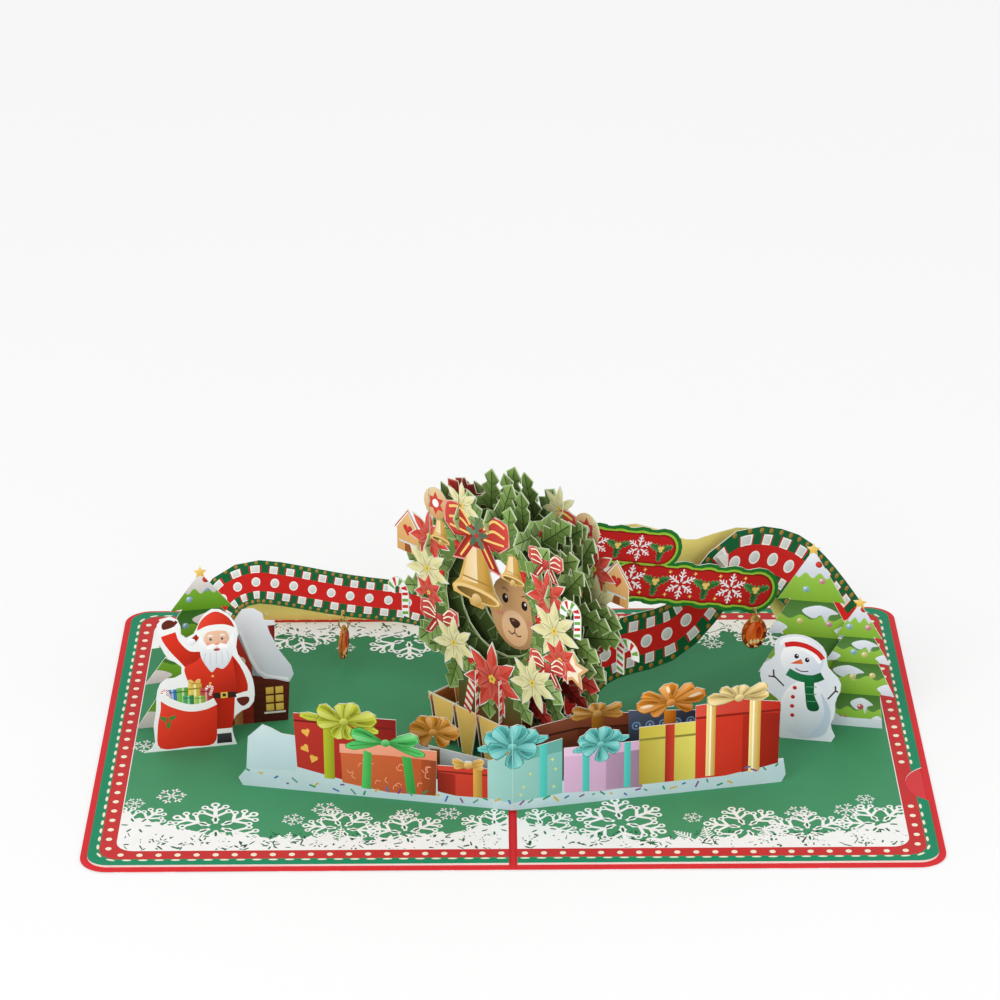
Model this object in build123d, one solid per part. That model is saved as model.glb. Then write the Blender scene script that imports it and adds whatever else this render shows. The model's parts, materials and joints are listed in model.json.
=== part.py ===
from build123d import *
import os
from math import atan2, cos, degrees, hypot, pi, radians, sin, sqrt

# A pop-up Christmas card lying open. X runs to the right along the open width, Y away from the
# reader and Z up. The origin is the centre of the cover's underside. All lengths in millimetres.

# Card stock
COVER_STOCK = 0.5
PAGE_STOCK = 0.4
SHEET_STOCK = 0.4
NOTE_STOCK = 0.3
CHARM_STOCK = 0.8

# Fineness of the cut: edges of a full oval and of the wreath's opening, edges between two points of a
# smooth outline, edges along a ribbon, and edges of an eyelet or a loop
OVAL_SIDES = 18
EDGE_STEPS = 2
RIBBON_STEPS = 22
EYELET_SIDES = 12

# Leaves of the cover and the pages glued on them
LEAF_WIDTH = 150.0
LEAF_DEPTH = 200.0
SPINE_WIDTH = 2.0
CORNER_RADIUS = 10.0
SCORE_WIDTH = 0.8
SCORE_DEPTH = 0.2
PAGE_MARGIN = 2.5
PAGE_GAP = 3.0
GLUE_FLAP = 8.0

# Pocket of the right page, its thumb notch and the note card in it
NOTCH_RADIUS = 14.0
NOTCH_DEPTH = 7.0
NOTCH_FROM_FRONT = 56.5
NOTE_CLEARANCE = 0.5
NOTE_CORNER = 4.0

# Flap folded back at the foot of each standing sheet
FOOT_DEPTH = 6.0
FOOT_TAPER = 2.0
HOUSE_FOOT_DEPTH = 3.0

# Gift strips: V-folds whose point is on the spine
STRIP_SWEEP = 11.4
FRONT_STRIP_FROM_FRONT = 39.0
STRIP_SPACING = 11.0

# Bows on the gifts: direction, length and width of each loop or tail, and the knot in their middle
KNOT_RADIUS = 2.0
KNOT_SIDES = 6
OLIVE_BOW = [
    (152, 10.8, 6), (186, 10, 5.4), (94, 7.4, 6), (59, 8.8, 6), (12, 12.2, 6.6), (242, 7.6, 5.4),
    (291, 7.2, 5.4), (175, 16.4, 3.2), (-13, 13, 3.2)]
GREEN_BOW = [(165, 13, 5.6), (13, 12.4, 5.6), (190, 14.8, 3.4), (-14, 14.8, 3.4)]
SMALL_BOW = [(168, 6, 3), (20, 6, 3), (194, 5.4, 1.8), (-8, 5.6, 1.8)]
TEAL_BOW = [
    (128, 9.4, 7.4), (69, 9, 7.4), (161, 10.6, 6.8), (199, 9.1, 6.8), (342, 9.1, 6.8), (276, 8.8, 6.4),
    (29, 10.5, 6.4), (190, 12.8, 3), (12, 13.4, 3)]
TEAL_BOW_SIZES = (1.0, 0.8)
GOLD_BOW = [(178, 11.8, 5), (150, 8, 4.6), (110, 5, 4.4), (60, 5.4, 4.6), (22, 11, 4.6), (2, 11, 4)]
BRONZE_BOW = [
    (173, 8.8, 6.4), (5, 9.6, 6.4), (135, 7.8, 6), (45, 7.8, 6), (90, 6.6, 6), (222, 7, 5.6), (318, 7, 5.6)]
BROWN_BOW = [(165, 9.4, 3.6), (18, 9.6, 3.6), (184, 9.6, 3), (-6, 9.6, 3), (60, 4.6, 4), (118, 4.6, 4)]
ORANGE_BOW = [
    (182, 12.6, 6), (160, 11.4, 5), (98, 7.8, 7.4), (12, 13.2, 6), (38, 10.4, 5), (212, 8.4, 4),
    (-22, 8.8, 4)]

# Figures: distance of their middle from the outer edge of the leaf and from the middle of its depth
LEFT_HEADING = 10.8
RIGHT_HEADING = -11.0
SANTA_IN, SANTA_BACK = 32.8, -14.0
HOUSE_IN, HOUSE_BACK = 57.7, 5.8
TREE_LEFT_BEHIND, TREE_LEFT_ACROSS = 19.0, 8.5
SNOWMAN_IN, SNOWMAN_BACK = 42.8, -10.1
TREE_TALL_BEHIND, TREE_TALL_ACROSS = 16.0, -1.0
TREE_SHORT_IN, TREE_SHORT_BACK = 23.6, 0.0

# Folded strips that tie a front sheet to the one behind it
LINK_HEIGHT = 8.0
LINK_TAB = 5.0
SANTA_LINK = (0.0, 20.0)
SNOWMAN_LINK = (0.0, 14.0)
PLAQUE_LINK_LEFT = (8.0, 57.0)
PLAQUE_LINK_RIGHT = (58.0, 38.0)

# Spans of the glue flaps along their sheets; those of the right banner count from its rear end
FRONT_STRIP_FLAPS = [(-92, -60), (60, 92)]
BACK_STRIP_FLAPS = [(-42, -26), (30, 68)]
BANNER_LEFT_FLAPS = [(-131, -119), (-14, -3)]
BANNER_RIGHT_FLAPS = [(156, 142), (20, 6)]
BACKING_RIGHT_FLAPS = [(156, 144), (28, 14)]
SANTA_FLAP = (-12, 12)
HOUSE_FLAP = (-9, 9)
TREE_LEFT_FLAP = (-18, 18)
SNOWMAN_FLAP = (-8, 8)
TREE_TALL_FLAP = (-14, 12)
TREE_SHORT_FLAP = (1, 9)

# Ribbon banners, the yellow sheets behind them and the plaque
BANNER_APEX = -5.0
BANNER_END_IN = 11.0
BANNER_END_FROM_REAR = 7.0
BANNER_DRAWN_LENGTH = 170.89
BANNER_RIGHT_WIDTH = 25.0
BANNER_LEFT_APEX = 20.0
BANNER_LEFT_HEADING = -18.0
BANNER_LEFT_LEAN = 28.0
BANNER_LEFT_WIDE, BANNER_LEFT_NARROW = 17.5, 14.5
BACKING_CLEARANCE = 1.0
BACKING_RIGHT_WIDTH = 22.0
BACKING_LEFT_FROM_REAR = 10.0
BACKING_LEFT_IN = 34.0
BACKING_LEFT_LENGTH = 92.0
BACKING_LEFT_HEIGHT = 8.5
BACKING_LEFT_HEM = 6.0
PLAQUE_FROM_SPINE = 0.2 * LEAF_WIDTH
PLAQUE_BACK = 10.0
PLAQUE_FOOT = (PLAQUE_FROM_SPINE, PLAQUE_BACK)
PLAQUE_HEADING = 18.0
PLAQUE_TILT = -14.0
PLAQUE_CORNER = (2.0, 49.0)
PLAQUE_UPPER_LOBE, PLAQUE_LOWER_LOBE = 8.5, 9.3
PLAQUE_UPPER_PITCH, PLAQUE_LOWER_PITCH = 8.7, 10.3

# Charms and their loops
CHARM_WIDTH = 10.0
CHARM_LENGTH = 14.0
CHARM_NECK = 0.6
EYELET_RADIUS = 0.8
EYELET_EDGE = 1.6
LOOP_RADIUS = 2.0
LOOP_WIRE = 0.5
LOOP_PLAY = 0.1
CHARM_LEFT_ALONG = -70.8

# Wreath and pot: ring sheets across the corner of the card, cross sheets at right angles to them
WREATH_FROM_FRONT = 80.0
RING_HEIGHT = 63.7
DEER_OPENING = 15.0
HOLLY_OPENING = 20.0
FLOWER_OPENING = 22.0
RING_OUTER = 36.0
RING_PITCH = 5.5
SLOT_CLEARANCE = 0.05
HOLLY_LENGTH = 18.0
HOLLY_WIDTH = 10.5
HOLLY_LAP = 4.0
HOLLY_LEANS = (-20.0, 28.0)
FLOWER_LEAVES = 13
FLOWER_LEAF_LAP = 9.0
FLOWER_LEAF_LEAN = 15.0
FACE_CENTRE = (2.0, -4.8)
FACE_WIDTH = 25.0
FACE_HEIGHT = 29.0
POT_HEIGHT = 18.7
POT_BAND = 3.2
POT_PITCH = 12.0
POT_START = -30.0
POT_STATIONS = 5
POT_OVERHANG = 2.0
TOOTH_TAPER = 3.5
CROSS_OVERHANG = 1.5
CROSS_TAPER = 3.0
TALL_CROSS_HEIGHT = 37.0
COLLAR_HALF_WIDTH = 16.0
COLLAR_LAP = 6.0
LINK_LEAF_PITCH = 15.0
LINK_LEAF_RADIUS = 33.0
LINK_LEAF_WIDTH = 13.0
LINK_LEAF_RISE = 1.5

# Values that follow from the ones above
OPEN_WIDTH = 2 * LEAF_WIDTH + SPINE_WIDTH
PAGE_TOP = COVER_STOCK + 2 * PAGE_STOCK
PAGE_EDGE = OPEN_WIDTH / 2 - PAGE_MARGIN
PAGE_REACH = LEAF_DEPTH / 2 - PAGE_MARGIN
POCKET_HEIGHT = PAGE_STOCK
BANNER_LEFT_LIFT = SHEET_STOCK * sin(radians(BANNER_LEFT_LEAN))
FAR = 2 * LEAF_WIDTH


def polygon(points):
    """Flat shape with straight edges, facing up whichever way round its points run."""
    spots = [Vector(point) for point in points]
    area = sum(a.X * b.Y - b.X * a.Y for a, b in zip(spots, spots[1:] + spots[:1]))
    return Polygon(*(spots if area > 0 else spots[::-1]), align=None)


def oval(half_width, half_height, sides=OVAL_SIDES):
    """Oval cut with short straight edges."""
    turns = [2 * pi * n / sides for n in range(sides)]
    return polygon([(half_width * cos(turn), half_height * sin(turn)) for turn in turns])


def disc(radius):
    """Round shape cut with short straight edges."""
    return oval(radius, radius)


def eyelet_hole():
    """Hole for a loop."""
    return oval(EYELET_RADIUS, EYELET_RADIUS, EYELET_SIDES)


def rounded(points):
    """Flat shape whose edge follows a smooth line through the points, closed by a straight foot."""
    edge = Spline(*points)
    steps = EDGE_STEPS * (len(points) - 1)
    return polygon([edge.position_at(n / steps) for n in range(steps + 1)])


def box2d(left, low, right, high):
    """Rectangle between two corners."""
    return Pos((left + right) / 2, (low + high) / 2) * Rectangle(right - left, high - low)


def joined(shapes):
    """One flat shape made of several that overlap."""
    return Sketch() + shapes


def largest(shape):
    """Biggest face of a flat shape, without the scraps that a cut leaves."""
    return max(shape.faces(), key=lambda piece: piece.area)


def direction(heading):
    """Unit vectors along a sheet and straight back from it, for a heading in degrees."""
    turn = radians(heading)
    return Vector(cos(turn), sin(turn), 0), Vector(-sin(turn), cos(turn), 0)


def standing_plane(foot, heading, lean=0.0):
    """Plane of a standing sheet: x along it, y up it and z towards the reader."""
    along, back = direction(heading)
    up = back * sin(radians(lean)) + Vector(0, 0, 1) * cos(radians(lean))
    return Plane(origin=(foot[0], foot[1], PAGE_TOP), x_dir=along, z_dir=along.cross(up))


def stand(shape, foot, heading, lean=0.0):
    """Sheet whose printed front lies in a standing plane."""
    sheet = extrude(shape, amount=SHEET_STOCK, dir=(0, 0, -1))
    return standing_plane(foot, heading, lean).location * sheet


def foot_flap(foot, heading, span, depth=FOOT_DEPTH):
    """Glue flap of a standing sheet, folded back flat on the page."""
    start, end = span
    along = direction(heading)[0]
    plane = Plane(origin=(foot[0], foot[1], PAGE_TOP), x_dir=along, z_dir=(0, 0, 1))
    outline = polygon([(start, 0), (end, 0), (end - FOOT_TAPER, depth), (start + FOOT_TAPER, depth)])
    return plane.location * extrude(outline, amount=SHEET_STOCK, dir=(0, 0, 1))


def v_fold(shape, apex, flaps):
    """Strip folded on the spine, with its wings swept back from the apex."""
    left = stand(shape & box2d(-FAR, 0, 0, FAR), apex, -STRIP_SWEEP)
    right = stand(shape & box2d(0, 0, FAR, FAR), apex, STRIP_SWEEP)
    strip = left + right
    for span in flaps:
        heading = STRIP_SWEEP if span[0] > 0 else -STRIP_SWEEP
        strip += foot_flap(apex, heading, span)
    return strip


def place(foot, heading, across, behind):
    """Foot of a sheet parallel to another one, moved across and behind it."""
    along, back = direction(heading)
    moved = Vector(foot[0], foot[1], 0) + along * across + back * behind
    return moved.X, moved.Y


# Small shapes shared by several sheets

def ribbon_bow(loops, size=1.0):
    """Bow of ribbon loops and tails about a knot: direction, length and width of each."""
    side = [(0.45, 0.38), (0.8, 0.5), (1.0, 0.2)]
    shapes = [oval(KNOT_RADIUS * size, KNOT_RADIUS * size, KNOT_SIDES)]
    for turn, length, width in loops:
        upper = [(size * length * along, size * width * out) for along, out in side]
        lower = [(x, -y) for x, y in upper]
        shapes.append(Rot(0, 0, turn) * polygon([(0, 0)] + lower + upper[::-1]))
    return joined(shapes)


def star(tips, outer, inner):
    """Pointed star with one tip upwards."""
    radii = [outer, inner] * tips
    angles = [pi / 2 + pi * n / tips for n in range(2 * tips)]
    return polygon([(r * cos(a), r * sin(a)) for r, a in zip(radii, angles)])


def poinsettia(radius):
    """Flower of seven broad pointed bracts."""
    points = []
    for n in range(7):
        middle = pi / 2 + 2 * pi * n / 7
        for share, turn in ((0.42, -0.45), (0.72, -0.2), (1.0, 0.0), (0.72, 0.2)):
            points.append((radius * share * cos(middle + turn), radius * share * sin(middle + turn)))
    return polygon(points)


def holly_leaf(length, width):
    """Leaf with three thorns a side, its stalk end at the origin and its tip along x."""
    side = [(0.24, 1.0), (0.4, 0.5), (0.55, 0.95), (0.68, 0.42), (0.8, 0.7)]
    upper = [(length * along, width / 2 * out) for along, out in side]
    lower = [(x, -y) for x, y in upper]
    return polygon([(0, 0)] + lower + [(length, 0)] + upper[::-1])


def bow(width):
    """Ribbon bow with two loops and two tails."""
    half = width / 2
    side = [
        (0.12, 0.2), (0.55, 0.62), (0.95, 0.55), (1.0, 0.05), (0.7, -0.2), (0.35, -0.12),
        (0.75, -0.75), (0.4, -0.7), (0.12, -0.3)]
    right = [(half * x, half * y) for x, y in side]
    left = [(-x, y) for x, y in reversed(right)]
    return polygon(right + left)


def bell(width):
    """Bell as tall as it is wide, seen from the side with its clapper, hung from the origin."""
    side = [
        (0.08, 0.0), (0.2, -0.1), (0.27, -0.4), (0.36, -0.65), (0.5, -0.8), (0.47, -0.9), (0.16, -0.92),
        (0.12, -1.0)]
    right = [(width * x, width * y) for x, y in side]
    left = [(-x, y) for x, y in reversed(right)]
    return polygon(right + left)


def candy_cane(height):
    """Hooked stick, its straight part down from the origin."""
    thick = 0.24 * height
    hook = 0.24 * height
    ring = disc(hook + thick / 2) - disc(hook - thick / 2)
    top = ring & box2d(-height, 0, height, height)
    stick = box2d(hook - thick / 2, -0.62 * height, hook + thick / 2, 0)
    tip = box2d(-hook - thick / 2, -0.12 * height, -hook + thick / 2, 0)
    return joined([top, stick, tip])


def gingerbread_house(width):
    """Small house with a steep roof."""
    half = width / 2
    return polygon([
        (-0.75 * half, -half), (0.75 * half, -half), (0.75 * half, 0.1 * half), (half, 0.05 * half),
        (0, 1.3 * half), (-half, 0.05 * half), (-0.75 * half, 0.1 * half)])


def fir(tip, tiers, foot):
    """Fir tree: its top, then the half width and height of each tier's hem, then its foot."""
    right = []
    for width, height in tiers:
        right += [(width, height), (0.62 * width, height + 0.6)]
    right += [(foot, 0)]
    left = [(-x, y) for x, y in reversed(right)]
    return joined([polygon([(0, tip)] + right + left), Pos(0, tip) * star(5, 2.6, 1.2)])


# Cover, pages and note card

def leaf_face(left, right, reach, outer_radius):
    """Rectangle with its two outer corners rounded; the outer side is the one away from x = 0."""
    sheet = box2d(left, -reach, right, reach)
    outer = max((left, right), key=abs)
    corners = [v for v in sheet.vertices() if abs(v.X - outer) < 1e-6]
    return fillet(corners, outer_radius)


def make_cover():
    """One sheet for both leaves and the spine, with a score on each side of the spine."""
    sheet = RectangleRounded(OPEN_WIDTH, LEAF_DEPTH, CORNER_RADIUS)
    cover = extrude(sheet, amount=COVER_STOCK, dir=(0, 0, 1))
    for x in (-SPINE_WIDTH / 2, SPINE_WIDTH / 2):
        groove = polygon([
            (x - SCORE_WIDTH / 2, COVER_STOCK), (x, COVER_STOCK - SCORE_DEPTH),
            (x + SCORE_WIDTH / 2, COVER_STOCK)])
        run = Plane(origin=(0, LEAF_DEPTH / 2, 0), x_dir=(1, 0, 0), z_dir=(0, -1, 0))
        cover -= run.location * extrude(groove, amount=LEAF_DEPTH, dir=(0, 0, 1))
    return cover


def make_page(side, open_outside):
    """Page sheet with glue flaps folded under; side is -1 for left and 1 for right."""
    inner = side * PAGE_GAP / 2
    outer = side * PAGE_EDGE
    radius = CORNER_RADIUS - PAGE_MARGIN
    face = leaf_face(min(inner, outer), max(inner, outer), PAGE_REACH, radius)
    hollow_outer = side * FAR if open_outside else outer - side * GLUE_FLAP
    hollow_inner = inner + side * GLUE_FLAP
    hollow = box2d(
        min(hollow_inner, hollow_outer), -PAGE_REACH + GLUE_FLAP,
        max(hollow_inner, hollow_outer), PAGE_REACH - GLUE_FLAP)
    flaps = face - hollow
    if open_outside:
        centre = (outer + side * (NOTCH_RADIUS - NOTCH_DEPTH), NOTCH_FROM_FRONT - LEAF_DEPTH / 2)
        face -= Pos(*centre) * Circle(NOTCH_RADIUS)
    panel = Pos(0, 0, COVER_STOCK + POCKET_HEIGHT) * extrude(face, amount=PAGE_STOCK, dir=(0, 0, 1))
    return panel + Pos(0, 0, COVER_STOCK) * extrude(flaps, amount=POCKET_HEIGHT, dir=(0, 0, 1))


def make_note_card():
    """Loose card that fills the pocket and reaches the page's outer edge."""
    left = PAGE_GAP / 2 + GLUE_FLAP + NOTE_CLEARANCE
    right = PAGE_EDGE - NOTE_CLEARANCE
    depth = 2 * (PAGE_REACH - GLUE_FLAP - NOTE_CLEARANCE)
    face = Pos((left + right) / 2, 0) * RectangleRounded(right - left, depth, NOTE_CORNER)
    lift = COVER_STOCK + (POCKET_HEIGHT - NOTE_STOCK) / 2
    return Pos(0, 0, lift) * extrude(face, amount=NOTE_STOCK, dir=(0, 0, 1))


# Gift strips

def front_strip_outline():
    """Gifts in the first row, in the strip's own plane with the fold at x = 0."""
    snow = polygon([
        (-99, 0), (-100.5, 3), (-97.5, 7), (-96.5, 20), (-94, 22.5), (-91, 25.5), (-88, 24.5), (-84, 22.5),
        (-78, 22), (-70, 9), (0, 10), (60, 9), (99.5, 9.5), (100.5, 3), (99, 0)])
    gifts = [
        [(-79.5, 31.4), (-42, 32.2), (-42, 6), (-57, 5), (-78.6, 9.6)],
        [(-62.6, 20), (-45, 21.5), (-27.4, 21), (-27.8, 3), (-45, 2.6), (-62, 5)],
        [(-27.2, 15.5), (-4.7, 16), (-5, 4), (-20.7, 3.8), (-27, 5)],
        [(-9, 19), (0, 23), (18.1, 27), (18.1, 5), (0, 3), (-9, 4)],
        [(18.7, 23), (47.4, 22.8), (47.4, 5), (33.9, 4), (18.7, 5)],
        [(46.1, 28.2), (68.2, 28.3), (68.4, 5), (46.1, 5)],
        [(66.6, 34.6), (82, 35.6), (97.8, 32.9), (97.5, 8), (78, 5), (66.8, 5)]]
    bows = [
        Pos(-61, 29.5) * ribbon_bow(OLIVE_BOW),
        Pos(-46, 22.5) * ribbon_bow(GREEN_BOW),
        Pos(-16, 16.5) * ribbon_bow(SMALL_BOW),
        Pos(0, 25.5) * ribbon_bow(TEAL_BOW, TEAL_BOW_SIZES[0]),
        Pos(32, 23) * ribbon_bow(TEAL_BOW, TEAL_BOW_SIZES[1]),
        Pos(82.5, 36) * ribbon_bow(GOLD_BOW)]
    return joined([snow] + [polygon(points) for points in gifts] + bows)


def back_strip_outline():
    """Gifts in the second row."""
    snow = polygon([
        (-45, 0), (-46, 4), (-43.5, 16), (-38, 18.5), (-18, 15), (0, 12), (42, 12), (72, 12), (74, 0)])
    gifts = [
        [(6.8, 26.5), (24, 29.5), (43.4, 28.7), (43.4, 5), (6.8, 5)],
        [(42.5, 29.5), (72.5, 26.5), (72.5, 5), (42.5, 5)]]
    bows = [
        Pos(-28.8, 22.5) * ribbon_bow(BRONZE_BOW),
        Pos(31, 29.5) * ribbon_bow(BROWN_BOW),
        Pos(58, 31) * ribbon_bow(ORANGE_BOW)]
    return joined([snow] + [polygon(points) for points in gifts] + bows)


# Figures, each in its own plane with its foot along y = 0

def santa_outline():
    return rounded([
        (-16.8, 0), (-12.6, 3.5), (-12.8, 9), (-11.6, 17), (-10.8, 25), (-7.5, 29.5), (-2.2, 30.2),
        (-1.6, 34), (-5.5, 37), (-8.5, 42), (-10.3, 48.5), (-9, 53), (-5, 54.6), (-1.5, 51.6), (-0.5, 45.5),
        (2.4, 46), (5.5, 51.5), (11, 56.3), (16.5, 53), (19.4, 46.5), (18.6, 39), (22.5, 31), (24.7, 22),
        (23, 15), (18.5, 13), (16, 7.5), (16.6, 3), (17.5, 0)])


def snowman_outline():
    return rounded([
        (-9.5, 0), (-10.6, 6), (-9.7, 14.7), (-14.5, 19), (-17.4, 25), (-16, 30.5), (-12.6, 32.8),
        (-12.4, 39.5), (-8.5, 42.3), (-3.5, 43), (2.5, 41), (6.5, 36), (7.3, 30.5), (10.8, 27), (12.3, 22),
        (10.5, 17), (10.2, 10.5), (8.8, 6.5), (10.6, 3), (9.5, 0)])


def house_outline():
    return polygon([
        (-11, 0), (10.4, 0), (11.4, 16), (13, 19), (12.2, 22.5), (6.2, 32), (6.6, 41.8), (2.6, 42.3),
        (2.2, 45), (-1, 47.5), (-5.3, 47.5), (-9, 42), (-13, 30), (-12, 20)])


def tree_left_outline():
    return fir(62, [(11.5, 47), (16.5, 33), (22, 18)], 26)


def tree_tall_outline():
    return fir(70, [(12.5, 49), (16, 34.5), (19, 18)], 17)


def tree_short_outline():
    return fir(51, [(8.5, 37), (11.8, 26.5), (13.8, 13.5)], 10)


def figure(outline, foot, heading, flap, depth=FOOT_DEPTH):
    """Standing figure with its glue flap."""
    return stand(outline, foot, heading) + foot_flap(foot, heading, flap, depth)


def tie_strip(foot, heading, spot, gap, slope=0.0):
    """Folded strip from the back of a sheet to the front of one behind it, with a glued tab on each.

    The spot is the strip's place along the front sheet and its height. The gap is measured straight back
    at x = 0 of the front sheet and grows by slope for each millimetre along it.
    """
    across, height = spot
    stock = SHEET_STOCK
    rear_stock = stock * sqrt(1 + slope * slope)
    near, far = across + stock, across + LINK_TAB
    plan = polygon([
        (across - LINK_TAB, stock), (near, stock), (near, gap + slope * near - rear_stock),
        (far, gap + slope * far - rear_stock), (far, gap + slope * far), (across, gap + slope * across),
        (across, 2 * stock), (across - LINK_TAB, 2 * stock)])
    along = direction(heading)[0]
    plane = Plane(origin=(foot[0], foot[1], PAGE_TOP + height), x_dir=along, z_dir=(0, 0, 1))
    return plane.location * extrude(plan, amount=LINK_HEIGHT, dir=(0, 0, 1))


# Banners and plaque

def ribbon(middle, start_width, end_width):
    """Band that follows a smooth line through the points, cut off level at the page."""
    line = Spline(*middle)
    upper = []
    lower = []
    for n in range(RIBBON_STEPS + 1):
        share = n / RIBBON_STEPS
        run = line.tangent_at(share)
        half = (start_width + (end_width - start_width) * share) / 2
        side = Vector(-run.Y, run.X) * half
        upper.append(line.position_at(share) + side)
        lower.append(line.position_at(share) - side)
    return largest(polygon(upper + lower[::-1]) & box2d(-FAR, 0, FAR, FAR))


def banner_right_line():
    """Heading and length of the line from the banner's apex on the spine to the rear right corner."""
    end_x = OPEN_WIDTH / 2 - BANNER_END_IN
    end_y = LEAF_DEPTH / 2 - BANNER_END_FROM_REAR
    return degrees(atan2(end_y - BANNER_APEX, end_x)), hypot(end_x, end_y - BANNER_APEX)


def from_rear(distances):
    """Places along the right banner's line, drawn as distances from its rear end, fitted to its length."""
    length = banner_right_line()[1]
    return [length * (1 - distance / BANNER_DRAWN_LENGTH) for distance in distances]


def banner_sheet(middle, width, behind, flaps):
    """Ribbon sheet on the right banner's line or behind it, drawn from its rear end."""
    heading = banner_right_line()[0]
    foot = place((0, BANNER_APEX), heading, 0, behind)
    places = from_rear([x for x, y in middle])
    sheet = stand(ribbon([(x, y) for x, (_, y) in zip(places, middle)], width, width), foot, heading)
    for span in flaps:
        sheet += foot_flap(foot, heading, from_rear(span))
    return sheet


def make_banner_right():
    """Ribbon that leaves the page behind the wreath, dips, rises and comes down in the rear corner."""
    middle = [
        (151, -3), (146, 6), (136, 17), (123, 21), (108, 20.3), (96, 20.9), (87, 25.5), (78, 33.5),
        (66, 41.5), (52, 38.8), (40, 31.8), (31, 22.5), (19, 7), (12, -3)]
    return banner_sheet(middle, BANNER_RIGHT_WIDTH, 0, BANNER_RIGHT_FLAPS)


def make_backing_right():
    """Yellow sheet behind the right banner, higher than it beside the plaque."""
    middle = [
        (151, -3), (147, 14), (139, 38), (126, 57), (110, 55), (95, 46), (82, 41), (66, 41), (52, 37),
        (42, 30), (34, 19), (28, 8), (22, -3)]
    return banner_sheet(middle, BACKING_RIGHT_WIDTH, FOOT_DEPTH + BACKING_CLEARANCE, BACKING_RIGHT_FLAPS)


def banner_left_shape():
    """Level ribbon whose two ends come down to the page, with the eyelet of its charm."""
    middle = [
        (-125, -3), (-124, 10), (-119, 24.5), (-109, 31), (-97, 32), (-84, 31.6), (-70, 31.2), (-56, 31.5),
        (-42, 31.5), (-28, 28), (-17, 17), (-10, 5), (-7, -3)]
    shape = ribbon(middle, BANNER_LEFT_WIDE, BANNER_LEFT_NARROW)
    hem = shape & box2d(CHARM_LEFT_ALONG - EYELET_RADIUS, 0, CHARM_LEFT_ALONG + EYELET_RADIUS, FAR)
    eyelet = (CHARM_LEFT_ALONG, hem.bounding_box().min.Y + EYELET_EDGE)
    return shape - Pos(*eyelet) * eyelet_hole(), eyelet


def make_banner_left():
    """Left ribbon, leaning back, lifted so that its rear edge stands on the page."""
    foot = (0, BANNER_LEFT_APEX)
    shape = banner_left_shape()[0]
    sheet = Pos(0, 0, BANNER_LEFT_LIFT) * stand(shape, foot, BANNER_LEFT_HEADING, BANNER_LEFT_LEAN)
    for span in BANNER_LEFT_FLAPS:
        sheet += foot_flap(foot, BANNER_LEFT_HEADING, span)
    return sheet


def make_backing_left():
    """Low yellow strip along the rear of the left page."""
    foot = (BACKING_LEFT_IN - OPEN_WIDTH / 2, LEAF_DEPTH / 2 - BACKING_LEFT_FROM_REAR)
    reach, height = BACKING_LEFT_LENGTH, BACKING_LEFT_HEIGHT
    shape = rounded([
        (0, 0), (4, 0.7 * height), (0.12 * reach, height), (0.5 * reach, 0.85 * height),
        (0.9 * reach, height), (reach - 2, 0.6 * height), (reach, 0)])
    return figure(shape, foot, 0, (BACKING_LEFT_HEM, reach - BACKING_LEFT_HEM))


def tilted(along, out):
    """Point of the plaque's own slanting grid in the plane of its sheet."""
    turn = radians(PLAQUE_TILT)
    x = PLAQUE_CORNER[0] + along * cos(turn) - out * sin(turn)
    y = PLAQUE_CORNER[1] + along * sin(turn) + out * cos(turn)
    return x, y


def plaque_shape():
    """Two rows of rounded lobes, like two lines of a greeting, with an eyelet under the last lobe."""
    upper = [tilted(-6 + PLAQUE_UPPER_PITCH * n, 20.8) for n in range(4)]
    lower = [tilted(11 + PLAQUE_LOWER_PITCH * n, 7.8) for n in range(6)]
    lobes = [Pos(*spot) * disc(PLAQUE_UPPER_LOBE) for spot in upper]
    lobes += [Pos(*spot) * disc(PLAQUE_LOWER_LOBE) for spot in lower]
    fields = [
        [tilted(-6, 13), tilted(20, 13), tilted(20, 28.5), tilted(-6, 28.5)],
        [tilted(11, -0.5), tilted(62.5, -0.5), tilted(62.5, 16), tilted(11, 16)]]
    eyelet = (lower[-1][0], lower[-1][1] - PLAQUE_LOWER_LOBE + EYELET_EDGE)
    shape = joined(lobes + [polygon(points) for points in fields])
    return shape - Pos(*eyelet) * eyelet_hole(), eyelet


def plaque_gap():
    """Distance straight back from the plaque's plane to the banner's at x = 0, and how it grows along it."""
    heading = banner_right_line()[0]
    along, back = direction(PLAQUE_HEADING)
    apex = Vector(-PLAQUE_FOOT[0], BANNER_APEX - PLAQUE_FOOT[1], 0)
    turn = radians(heading - PLAQUE_HEADING)
    slope = sin(turn) / cos(turn)
    return apex.dot(back) - slope * apex.dot(along), slope


def make_plaque_links():
    """Strip to the backing sheet at the plaque's left and strip to the banner at its right."""
    gap, slope = plaque_gap()
    backing = (FOOT_DEPTH + BACKING_CLEARANCE) * sqrt(1 + slope * slope)
    left = tie_strip(PLAQUE_FOOT, PLAQUE_HEADING, PLAQUE_LINK_LEFT, gap + backing, slope)
    right = tie_strip(PLAQUE_FOOT, PLAQUE_HEADING, PLAQUE_LINK_RIGHT, gap, slope)
    return left, right


# Charms

def charm_shape():
    """Bauble with a cap, hung at the origin by its eyelet."""
    half = CHARM_LENGTH / 2 - CHARM_NECK
    body = Pos(0, EYELET_EDGE - 2 * CHARM_NECK - half) * oval(CHARM_WIDTH / 2, half)
    cap = box2d(-EYELET_EDGE, -2 * EYELET_EDGE, EYELET_EDGE, 0)
    return joined([body, cap, disc(EYELET_EDGE)]) - eyelet_hole()


def hung_plane(top, x_dir):
    """Upright plane through a hanging point, with its x along x_dir."""
    along = Vector(*x_dir)
    return Plane(origin=top, x_dir=along, z_dir=along.cross(Vector(0, 0, 1)))


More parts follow.
